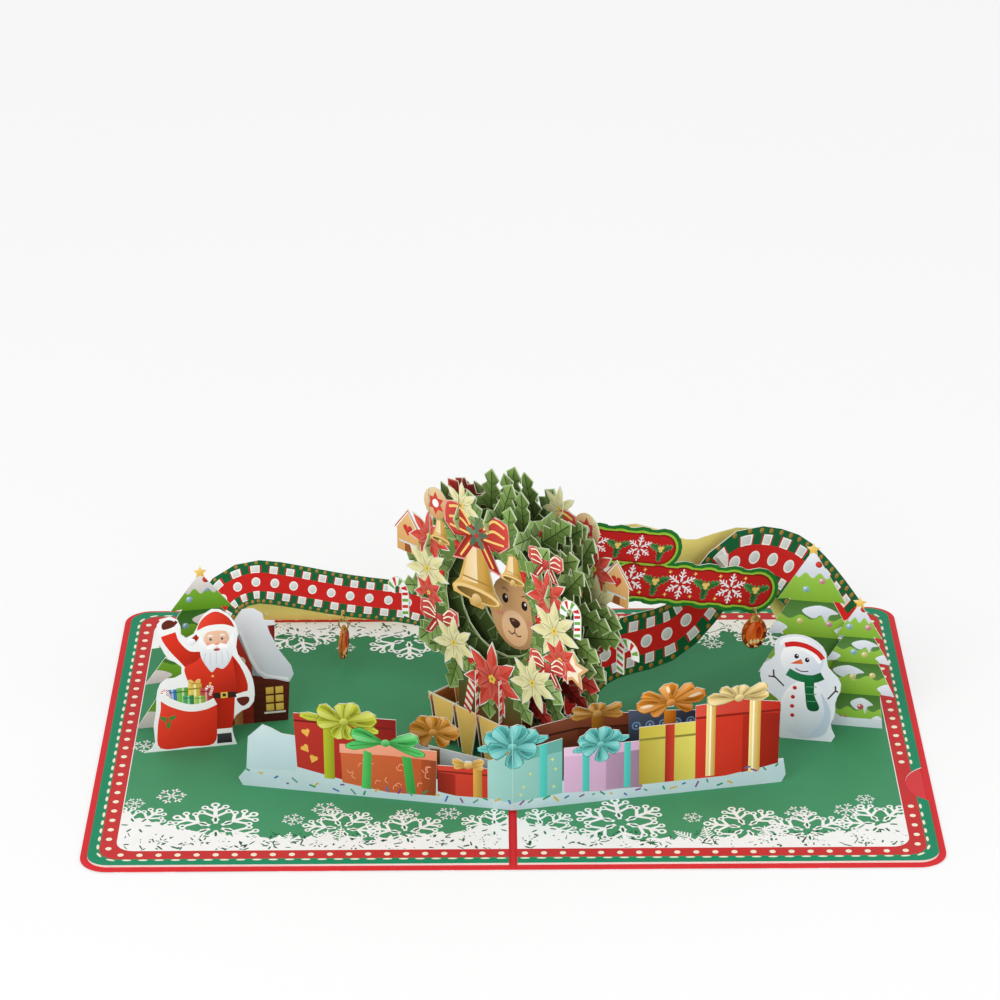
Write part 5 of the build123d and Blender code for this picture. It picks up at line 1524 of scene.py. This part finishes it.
def pot_front(pen, ink):
    """Tapered faces of the pot with pale folds, on a ring sheet, and the collar above them."""
    pen.box(-33, -1, 21, POT_HEIGHT, shade(ink, 0.8))
    for a, b in zip(POT_STATIONS, POT_STATIONS[1:]):
        pen.poly([(a, POT_HEIGHT), (b, POT_HEIGHT), (b - 3.5, 0), (a + 3.5, 0)], fade(ink, 1.1, 0.9, -80))
        for x, slant in ((a, 1), (b, -1)):
            pen.band([(x + 0.2 * slant, POT_HEIGHT), (x + 3.7 * slant, 0)], 0.5, (240, 228, 196))
    pen.box(-33, POT_HEIGHT - 0.5, 21, POT_HEIGHT + 0.1, (244, 236, 212))
    pen.box(-15.9, POT_HEIGHT, 15.9, 40, ((96, 60, 30), (74, 112, 58), 90))
    post = pen.at(-11.5, POT_HEIGHT + 0.2, 78)
    post.box(0, -1.9, 14, 1.9, (246, 236, 220))
    for n in range(5):
        x = 3 * n
        post.poly([(x - 1, -1.9), (x + 0.4, -1.9), (x + 2.4, 1.9), (x + 1, 1.9)], (200, 56, 44))


def leafy_ring(pen, inks, count, turn, dark, opening):
    """Holly leaves all round the ring, leaning in turn to either side, over a darker band."""
    holly = print_ink(inks.holly_green)
    pen.disc(0, 0, RING_OUTER, fade(holly, 0.5 * dark, 0.78 * dark, 60), sides=40)
    rng = random.Random(count * 7 + int(turn))
    for n in range(count):
        angle = turn + 360 * n / count
        inner = pen.at(0, 0, angle + 180 / count).at(opening + 0.5, 0, -30 + 60 * (n % 2))
        holly_leaf(inner, 15, 8.6, shade(holly, dark * rng.uniform(0.74, 0.96)))
    for n in range(count):
        lean = 28 if n % 2 else -20
        leaf = pen.at(0, 0, turn + 360 * n / count).at(RING_OUTER - 4, 0, lean)
        ink = (196, 50, 42) if n % 8 == 5 else holly
        holly_leaf(leaf, 18, 10.5, shade(ink, dark * rng.uniform(0.86, 1.14)))
    for n in range(count // 2):
        berries(pen.at(0, 0, turn + 720 * n / count + 9).at(30.5, 0), 1.3, 1.4, BERRY)
    pen.ring(0, 0, opening + 0.5, 0.5, shade(holly, 1.3), 28)


def flowered_ring(pen, inks):
    """Ring of leaves, flowers, bows, bells and biscuits, each drawn over the ones before it."""
    holly, gold = print_ink(inks.holly_green), print_ink(inks.gold)
    red, cream = print_ink(inks.flower_red), print_ink(inks.flower_cream)
    pen.disc(0, 0, 32.6, fade(holly, 0.55, 0.85, 60), sides=40)
    rng = random.Random(41)
    for n in range(20):
        leaf = pen.at(0, 0, 18 * n + 6).at(FLOWER_OPENING - 4, 0, rng.uniform(-50, 50))
        holly_leaf(leaf, 15, 8, shade(holly, rng.uniform(0.8, 1.05)))
    for n in range(FLOWER_LEAVES):
        leaf = pen.at(0, 0, 15 + 360 * n / FLOWER_LEAVES).at(RING_OUTER - 9, 0, 15)
        holly_leaf(leaf, 18, 10.5, shade(holly, rng.uniform(0.95, 1.2)))
    for n in range(9):
        berries(pen.at(0, 0, 40 * n + 8).at(25, 0), 1.2, 1.3, ((222, 66, 54), (150, 28, 28), -60))
    for draw, x, y, size, *colours in (
            (gingerbread_house, -41.4, 15.8, 15), (poinsettia, -30.4, 18.6, 11, red),
            (poinsettia, -31.7, 5.2, 11.5, cream),
            (candy_cane, -47, -9, 15, CANE_RED, CANE_GREEN),
            (poinsettia, -13.6, 36.3, 9, cream),
            (round_biscuit, -26.8, 32.8, 6),
            (golden_bell, -24.5, 27, 10, gold),
            (poinsettia, -31, -4.2, 8, red),
            (striped_bow, -25.6, -13.1, 20, (206, 62, 56), CREAM),
            (poinsettia, -18.3, -20.2, 11, cream),
            (golden_bell, 12, 25, 12, gold),
            (golden_bell, -6.2, 23.5, 25, gold),
            (striped_bow, -6, 26.8, 33, (206, 56, 44), (244, 206, 120), (110, 140, 110)),
            (striped_bow, 28, 27, 17, (206, 66, 56), CREAM),
            (poinsettia, 28.9, 14.7, 11, red),
            (candy_cane, 40, 12, 14, CANE_RED, CANE_GREEN),
            (poinsettia, 32.2, 2.4, 12, cream),
            (star_biscuit, 41.1, -9.5, 8),
            (poinsettia, 35, -8, 9, red),
            (striped_bow, 29, -13.2, 18, (206, 66, 56), CREAM),
            (poinsettia, 21.4, -22.1, 11.5, cream),
            (poinsettia, 1.2, -27.9, 15, red)):
        draw(pen.at(x, y), size, *colours)


def deer_face(pen):
    """Plain young deer's face in the wreath's opening: brown coat, dark nose and soft cheeks."""
    coat, mouth = (240, 186, 126), (92, 58, 44)
    pen.oval(2, -4.8, 12.5, 14.5, fade(coat, 1.08, 0.82, -70), sides=28)
    pen.oval(2, -11.2, 6.6, 7, fade(coat, 1.3, 1.12, -90), sides=24)
    for side in (-1, 1):
        pen.oval(2 + side * 4.8, -0.6, 1.5, 1.9, BLACK, sides=16)
        pen.oval(2 + side * 4.8 + 0.4, 0.1, 0.55, 0.6, WHITE, sides=8)
        pen.oval(2 + side * 7.6, -7, 1.9, 1.3, (226, 150, 120), sides=14)
        brow = [(2 + side * 3.4, 2.6), (2 + side * 5, 3.3), (2 + side * 6.4, 2.8)]
        pen.band(brow, 0.5, shade(coat, 0.55), True)
    nose = [(-0.7, -8), (2, -7.2), (4.7, -8), (3.9, -10), (2, -11), (0.1, -10)]
    pen.blob(nose, (mouth, (56, 36, 30), -90), 4)
    pen.oval(1.1, -8.3, 0.8, 0.4, (150, 112, 92), sides=10)
    pen.band([(2, -11), (2, -12.8)], 0.5, mouth)
    pen.band([(-1.2, -13.2), (0.6, -13.9), (2, -12.9), (3.4, -13.9), (5.2, -13.2)], 0.5, mouth, True)


def ring_sheets(inks):
    """Name and print of each ring sheet, from front to back."""
    sheets = []
    for n, name in enumerate(RING_NAMES):
        pen = Pen()
        if n % 2 == 0:
            pot_front(pen, print_ink(inks.pot_brown if n == 2 else inks.pot_gold))
        centre = pen.at(0, RING_HEIGHT)
        if n in HOLLY_RINGS:
            leafy_ring(centre, inks, *HOLLY_RINGS[n])
        else:
            flowered_ring(centre.at(0, 0, flip=-1 if n else 1), inks)
        if n == 2:
            deer_face(centre)
        sheets.append((name, pen.shapes))
    return sheets


def cross_shapes(inks, tall):
    """Dark side wall of the pot; a tall one carries a striped post above the rim."""
    pen = Pen()
    wood = print_ink(inks.pot_brown)

    def wall(top):
        pen.box(-13, -1, 13, top, fade(wood, 1.12, 0.72, -60))
        pen.box(-13, POT_HEIGHT - 0.7, 13, POT_HEIGHT + 0.1, RIM_CREAM)

    wall(POT_HEIGHT)
    for n in range(5):
        pen.box(-13, 2.6 + 3.2 * n, 13, 2.8 + 3.2 * n, shade(wood, 0.8))
    if tall:
        pen.box(-13, POT_HEIGHT, 13, 40, POST_CREAM)
        for n in range(8):
            low = POT_HEIGHT - 12 + 5.2 * n
            pen.poly([(-13, low), (13, low + 13), (13, low + 15.4), (-13, low + 2.4)], POST_RED)
            pen.poly([(-13, low + 3.2), (13, low + 16.2), (13, low + 16.8), (-13, low + 3.8)], (214, 160, 80))
        wall(POT_HEIGHT - 0.6)
    return pen.shapes


def link_shapes(inks, lap):
    """Two holly leaves tip to tip across the rings."""
    pen = Pen()
    holly = print_ink(inks.holly_green)
    for turn in (0, 180):
        holly_leaf(pen.at(0, lap + 1.5, turn), 14, 12.6, shade(holly, 1.16))
    pen.disc(0, lap + 1.5, 1.5, BERRY, sides=12)
    return pen.shapes


def charm_shapes():
    """Amber gem with a dark rim, facets all round and pale lights at its foot, hung at the origin."""
    pen = Pen()
    pen.oval(0, -6, 5, 6.4, ((176, 84, 34), (104, 28, 14), -60), sides=24)
    outer = ring_points(0, -6, 4.7, 6.1, sides=16)
    inner = ring_points(0, -6, 3.5, 4.9, sides=16)
    for n in range(0, 16, 2):
        ink = (255, 222, 140) if outer[n][1] < -9 else (232, 128, 52)
        pen.poly([outer[n], outer[n + 1], inner[n]], ink)
    pen.oval(0, -6, 3.5, 4.9, ((238, 58, 18), (255, 140, 44), -90), sides=24)
    pen.blob([(-2.6, -5), (-1.4, -2.2), (0.2, -1.8), (-0.9, -5.4), (-1.8, -8.4)],
             ((255, 150, 84), (246, 92, 34), -80), 4)
    pen.blob([(0.8, -4.6), (2.2, -3.6), (2.9, -6.2), (1.8, -9.2), (0.8, -8)],
             ((176, 34, 12), (222, 84, 24), -60), 4)
    for x in (-1.3, 0.2, 1.5):
        pen.poly([(x - 0.7, -9.4), (x, -8.2), (x + 0.7, -9.6), (x, -10.5)], (255, 236, 176))
    pen.box(-1.7, -1.3, 1.7, 1.7, ((246, 214, 130), (180, 130, 50), 0))
    return pen.shapes


# Settings

def inked(name, colour, text):
    return bpy.props.FloatVectorProperty(
        name=name, description=text, subtype="COLOR_GAMMA", size=3, min=0.0, max=1.0,
        default=tuple(v / 255 for v in colour))


class CardInks(bpy.types.PropertyGroup):
    """Colours of the card's print."""
    cover_red: inked("Cover red", (214, 42, 48), "Inside of the cover and edge of the note")
    tartan_red: inked("Tartan red", (240, 66, 42), "Light squares of the outer cover")
    tartan_green: inked("Tartan green", (44, 136, 96), "Dark squares of the outer cover")
    tartan_brown: inked("Tartan brown", (150, 92, 62), "Ground of the outer cover")
    page_green: inked("Page green", (52, 138, 88), "Field of the pages")
    border_green: inked("Border green", (28, 138, 98), "Outer hem of the pages")
    border_red: inked("Border red", (200, 52, 52), "Dotted band of the pages")
    cream: inked("Cream", (250, 242, 216), "Stitches, dots and the note's field")
    ribbon_red: inked("Ribbon red", (214, 30, 24), "Middle of the banners")
    ribbon_green: inked("Ribbon green", (14, 96, 52), "Hems and bars of the banners")
    ribbon_gold: inked("Ribbon gold", (174, 124, 36), "Dots in the banners' hems")
    plaque_red: inked("Plaque red", (190, 32, 30), "Field of the plaque")
    plaque_green: inked("Plaque green", (34, 116, 44), "Rim of the plaque")
    backing_yellow: inked("Backing yellow", (255, 242, 140), "Sheets behind the banners")
    gold: inked("Gold", (226, 174, 78), "Bells, gift ribbons and hearts")
    santa_red: inked("Coat red", (226, 46, 24), "Coat, cap and sack of the bearded figure")
    scarf_green: inked("Scarf green", (22, 112, 62), "Snowman's scarf")
    holly_green: inked("Holly green", (128, 164, 80), "Leaves of the wreath")
    flower_red: inked("Flower red", (222, 74, 58), "Red flowers of the wreath")
    flower_cream: inked("Flower cream", (242, 235, 172), "Cream flowers of the wreath")
    pot_gold: inked("Pot gold", (255, 208, 104), "Faces of the pot")
    pot_brown: inked("Pot brown", (176, 98, 30), "Inner walls of the pot")
    snow_blue: inked("Snow blue", (190, 210, 214), "Snow under the gifts")


def sized(name, size, text):
    return bpy.props.FloatProperty(
        name=name, description=text, default=size * MM, min=0.0, unit="LENGTH", subtype="DISTANCE",
        precision=5)


class CardMarks(bpy.types.PropertyGroup):
    """Sizes of the marks along the pages' border and on their field."""
    stitch_pitch: sized("Stitch pitch", 5.6, "Distance between stitches")
    stitch_length: sized("Stitch length", 3.4, "Length of a stitch")
    stitch_width: sized("Stitch width", 1.0, "Width of a stitch")
    dot_pitch: sized("Dot pitch", 6.6, "Distance between the dots of the red band")
    dot_width: sized("Dot width", 2.2, "Width of a dot")
    ink_thickness: sized("Ink thickness", 0.03, "Height of raised ink over the page")
    flake_arm: bpy.props.FloatProperty(
        name="Flake arm", description="Width of a small flake's arms as a share of its radius", default=0.13,
        min=0.02, max=0.5, subtype="FACTOR")


# Stage

def lay_table():
    """Plain table under the card, whitened where it is seen and not where it only lends light."""
    mesh = bpy.data.meshes.new("table")
    corners = scaled([(-1, -1), (1, -1), (1, 1), (-1, 1)], TABLE_REACH)
    mesh.from_pydata([(x, y, TABLE_LEVEL) for x, y in corners], [], [(0, 1, 2, 3)])
    table = new_object("table", mesh)
    material, wire, shader = new_finish("pale table")
    tint = wire.mix(wire.cloud(TABLE_SCALE), *([grey] * 3 for grey in TABLE_GREYS))
    wire.feed(shader, {"Base Color": tint, "Roughness": 0.9})
    path = wire.node("ShaderNodeLightPath").out.node
    eye_ray, gloss_ray, glass_ray = (
        Wire(wire.tree, path.outputs[f"Is {ray} Ray"]) for ray in ("Camera", "Glossy", "Transmission"))
    share = (eye_ray + gloss_ray + glass_ray) * TABLE_WHITENESS
    white = wire.node("ShaderNodeEmission", {}, {"Color": (1.0, 1.0, 1.0, 1.0), "Strength": 1.0})
    seen = wire.node("ShaderNodeMixShader", {}, {0: share, 1: Wire(wire.tree, shader.outputs[0]), 2: white})
    wire.feed(wire.tree.nodes["Material Output"], {"Surface": seen})
    mesh.materials.append(material)


def set_lights(scene):
    """White air and two soft lamps in front of the card."""
    world = bpy.data.worlds.new("studio")
    world.use_nodes = True
    scene.world = world
    air = world.node_tree.nodes["Background"]
    Wire(world.node_tree).feed(air, {"Color": (1.0, 1.0, 1.0, 1.0), "Strength": AIR_STRENGTH})
    for name, spot, size, energy in LAMPS:
        lamp = bpy.data.lights.new(name, "AREA")
        lamp.size, lamp.energy = size, energy
        holder = new_object(name, lamp)
        holder.location = spot
        holder.rotation_euler = (Vector(LAMP_AIM) - Vector(spot)).to_track_quat("-Z", "Y").to_euler()


def set_camera(scene):
    """Camera that sees the card as the photograph does."""
    eye = bpy.data.cameras.new("camera")
    eye.sensor_width, eye.lens = SENSOR, SENSOR * FOCAL_PIXELS / PICTURE_PIXELS
    camera = new_object("camera", eye)
    pitch, yaw, roll = (radians(turn) for turn in (CAMERA_PITCH, CAMERA_YAW, CAMERA_ROLL))
    ahead = Vector((-sin(yaw) * cos(pitch), cos(yaw) * cos(pitch), -sin(pitch)))
    right = Vector((cos(yaw), sin(yaw), 0))
    up = right.cross(ahead)
    turned_right = right * cos(roll) + up * sin(roll)
    turned_up = up * cos(roll) - right * sin(roll)
    rows = Matrix((turned_right, turned_up, -ahead)).transposed().to_4x4()
    camera.matrix_world = Matrix.Translation(Vector(CAMERA_PLACE) * MM) @ rows
    scene.camera = camera


# Operators

class CARD_OT_stage(bpy.types.Operator):
    """Set the table, the soft light and the camera."""
    bl_idname = "card.stage"
    bl_label = "Stage"

    def execute(self, context):
        scene = context.scene
        scene.view_settings.view_transform = "Standard"
        lay_table()
        set_lights(scene)
        set_camera(scene)
        return {"FINISHED"}


class CARD_OT_cover(bpy.types.Operator):
    """Finish the cover, the note in its pocket and the plain strips that tie sheets together."""
    bl_idname = "card.cover"
    bl_label = "Cover and note"

    def execute(self, context):
        dress("cover", "cover board")
        dress("note_card", "note paper")
        for name in ("santa_link", "snowman_link", "plaque_link_left", "plaque_link_right"):
            dress(name, "plain card")
        for name in ("loop_right", "loop_left_upper", "loop_left_lower"):
            dress(name, "gold cord")
        return {"FINISHED"}


class CARD_OT_pages(bpy.types.Operator):
    """Print both pages with their border, green field and snow."""
    bl_idname = "card.pages"
    bl_label = "Pages"

    def execute(self, context):
        print_page("left_page", -1, context.scene.card_inks)
        print_page("right_page", 1, context.scene.card_inks)
        return {"FINISHED"}


class CARD_OT_marks(bpy.types.Operator):
    """Lay the stitches and dots along the borders and the small snowflakes on the fields."""
    bl_idname = "card.marks"
    bl_label = "Border marks and flakes"

    def execute(self, context):
        marks = context.scene.card_marks
        tree, thick = stitch_tree(), marks.ink_thickness
        height = PAGE_TOP + thick / MM / 2
        for label, inset, pitch, size, wide, sides in (
                ("stitches", STITCH_INSET, marks.stitch_pitch, marks.stitch_length, marks.stitch_width, 10),
                ("dots", DOT_INSET, marks.dot_pitch, marks.dot_width, marks.dot_width, 14)):
            values = {"Pitch": pitch, "Length": size, "Width": wide, "Thickness": thick, "Sides": sides,
                      "Material": finish("cream ink")}
            for side, page in ((-1, "left"), (1, "right")):
                for line, part in zip(self.runs(side, inset), ("front", "rear")):
                    points = [(x, y, height) for x, y in line]
                    edges = [(n, n + 1) for n in range(len(points) - 1)]
                    grow_marks(f"{page}_{part}_{label}", points, edges, tree, values)
        points = [(x, y, height) for x, y, radius, turn in SMALL_FLAKES]
        values = {"Arm Width": marks.flake_arm, "Thickness": thick, "Material": finish("snow ink")}
        own = {"size": [row[2] * MM for row in SMALL_FLAKES],
               "turn": [radians(row[3]) for row in SMALL_FLAKES]}
        grow_marks("small_flakes", points, [], flake_tree(), values, own)
        return {"FINISHED"}

    def runs(self, side, inset):
        """Border line of a page; the right one is in two runs, before and after the thumb notch."""
        line = border_line(side, inset, -MARKS_START)
        if side < 0:
            return [line]
        edge = PAGE_OUTER - inset
        before, after = (edge, NOTCH_MIDDLE - NOTCH_HALF), (edge, NOTCH_MIDDLE + NOTCH_HALF)
        bend = CORNER_POINTS + 1
        return [line[:bend] + [before], [after] + line[bend:]]


class CARD_OT_gifts(bpy.types.Operator):
    """Print the two rows of gifts."""
    bl_idname = "card.gifts"
    bl_label = "Gift rows"

    def execute(self, context):
        inks = context.scene.card_inks
        snow = print_ink(inks.snow_blue)
        front, back = (FoldedSheet(apex, STRIP_SWEEP) for apex in (FRONT_STRIP_APEX, BACK_STRIP_APEX))
        print_sheet("gift_strip_front", front, front_row_shapes(inks), snow)
        print_sheet("gift_strip_back", back, back_row_shapes(), shade(snow, 1.3))
        return {"FINISHED"}


class CARD_OT_figures(bpy.types.Operator):
    """Print the bearded figure, the snowman and the house."""
    bl_idname = "card.figures"
    bl_label = "Figures and house"

    def execute(self, context):
        inks = context.scene.card_inks
        print_sheet("santa", standing(SANTA_FOOT, LEFT_HEADING), santa_shapes(inks), (236, 237, 238))
        print_sheet("snowman", standing(SNOWMAN_FOOT, RIGHT_HEADING), snowman_shapes(inks), (224, 230, 238))
        print_sheet("house", standing(HOUSE_FOOT, LEFT_HEADING), house_shapes(), (150, 160, 170))
        return {"FINISHED"}


class CARD_OT_trees(bpy.types.Operator):
    """Print the three firs."""
    bl_idname = "card.trees"
    bl_label = "Firs"

    def execute(self, context):
        lime, deep = (152, 206, 64), (74, 124, 50)
        firs = [
            ("tree_left", place(SANTA_FOOT, LEFT_HEADING, 8.5, 19.0), LEFT_HEADING, 62,
             [(11.5, 47), (16.5, 33), (22, 18)], 26, (116, 184, 42), (54, 116, 34), (222, 219, 213), 4),
            ("tree_tall", place(SNOWMAN_FOOT, RIGHT_HEADING, -1.0, 16.0), RIGHT_HEADING, 70,
             [(12.5, 49), (16, 34.5), (19, 18)], 17, lime, deep, (222, 230, 240), 8),
            ("tree_short", SHORT_TREE_FOOT, RIGHT_HEADING, 51,
             [(8.5, 37), (11.8, 26.5), (13.8, 13.5)], 10, lime, deep, (222, 230, 240), 15)]
        for name, foot, heading, tip, tiers, base, light, dark, snow, seed in firs:
            shapes = fir_shapes(tip, tiers, base, light, dark, snow, seed)
            print_sheet(name, standing(foot, heading), shapes, dark)
        return {"FINISHED"}


class CARD_OT_banners(bpy.types.Operator):
    """Print the ribbon banners, the yellow sheets behind them and the plaque."""
    bl_idname = "card.banners"
    bl_label = "Banners and plaque"

    def execute(self, context):
        inks = context.scene.card_inks
        dark, yellow = print_ink(inks.ribbon_green), print_ink(inks.backing_yellow)
        far = hypot(*BANNER_RIGHT_SPAN)
        heading = degrees(atan2(BANNER_RIGHT_SPAN[1], BANNER_RIGHT_SPAN[0]))
        right = Run([(far - x, y) for x, y in BANNER_RIGHT_LINE])
        print_sheet("banner_right", standing(BANNER_RIGHT_FOOT, heading),
                    ribbon_shapes(inks, right, *RIGHT_RIBBON), dark)
        lift = STOCK * sin(radians(BANNER_LEFT_LEAN))
        print_sheet("banner_left", standing(BANNER_LEFT_FOOT, BANNER_LEFT_HEADING, BANNER_LEFT_LEAN, lift),
                    ribbon_shapes(inks, Run(BANNER_LEFT_LINE), *LEFT_RIBBON), dark)
        behind = place(BANNER_RIGHT_FOOT, heading, 0, BACKING_RIGHT_GAP)
        for name, sheet in (("backing_right", standing(behind, heading)),
                            ("backing_left", standing(BACKING_LEFT_FOOT, 0))):
            print_sheet(name, sheet, backing_shapes(yellow), yellow)
        print_sheet("plaque", standing(PLAQUE_FOOT, PLAQUE_HEADING), plaque_shapes(inks),
                    print_ink(inks.plaque_green))
        return {"FINISHED"}


class CARD_OT_wreath(bpy.types.Operator):
    """Print the ring sheets of the wreath, the walls of the pot and the leaf links."""
    bl_idname = "card.wreath"
    bl_label = "Wreath and pot"

    def execute(self, context):
        inks = context.scene.card_inks
        holly = print_ink(inks.holly_green)
        for offset, (name, shapes) in zip(RING_OFFSETS, ring_sheets(inks)):
            print_sheet(name, ring_plane(offset), shapes, shade(holly, 0.9), edge=LEAF_EDGE)
        for n, station in enumerate(POT_STATIONS, 1):
            print_sheet(f"pot_cross_{n}", cross_plane(station), cross_shapes(inks, abs(station) < 12),
                        print_ink(inks.pot_brown))
        for n, station in enumerate(LEAF_STATIONS, 1):
            lap = RING_HEIGHT + sqrt(LEAF_RADIUS ** 2 - station ** 2)
            print_sheet(f"wreath_link_{n}", cross_plane(station), link_shapes(inks, lap), shade(holly, 1.1),
                        edge=LEAF_EDGE)
        return {"FINISHED"}


class CARD_OT_charms(bpy.types.Operator):
    """Print the two hanging charms."""
    bl_idname = "card.charms"
    bl_label = "Charms"

    def execute(self, context):
        for name, (heading, swing, drop) in CHARMS.items():
            pivot = next(joint["pos_m"] for joint in frame["joints"] if joint["name"] == swing)
            top = [value / MM for value in pivot]
            top[2] -= drop
            sheet = Sheet(top, directions(heading)[0], (0, 0, 1))
            sheet.origin += sheet.out * CHARM_STOCK / 2
            print_sheet(name, sheet, charm_shapes(), (196, 84, 30), CHARM_STOCK, (214, 116, 46))
        return {"FINISHED"}


class CARD_PT_panel(bpy.types.Panel):
    """The card's steps and settings."""
    bl_idname = "CARD_PT_panel"
    bl_label = "Pop-up card"
    bl_space_type = "VIEW_3D"
    bl_region_type = "UI"
    bl_category = "Card"

    def draw(self, context):
        for step in STEPS:
            self.layout.operator(step.bl_idname)
        for group in (context.scene.card_inks, context.scene.card_marks):
            for name in group.bl_rna.properties.keys():
                if name not in ("rna_type", "name"):
                    self.layout.prop(group, name)


STEPS = (
    CARD_OT_stage, CARD_OT_cover, CARD_OT_pages, CARD_OT_marks, CARD_OT_gifts, CARD_OT_figures, CARD_OT_trees,
    CARD_OT_banners, CARD_OT_wreath, CARD_OT_charms)
CLASSES = (CardInks, CardMarks, *STEPS, CARD_PT_panel)


def register():
    for kind in CLASSES:
        bpy.utils.register_class(kind)
    bpy.types.Scene.card_inks = bpy.props.PointerProperty(type=CardInks)
    bpy.types.Scene.card_marks = bpy.props.PointerProperty(type=CardMarks)


def unregister():
    del bpy.types.Scene.card_marks
    del bpy.types.Scene.card_inks
    for kind in reversed(CLASSES):
        bpy.utils.unregister_class(kind)


def main():
    register()
    for step in STEPS:
        group, name = step.bl_idname.split(".")
        getattr(getattr(bpy.ops, group), name)()


if __name__ == "__main__":
    main()
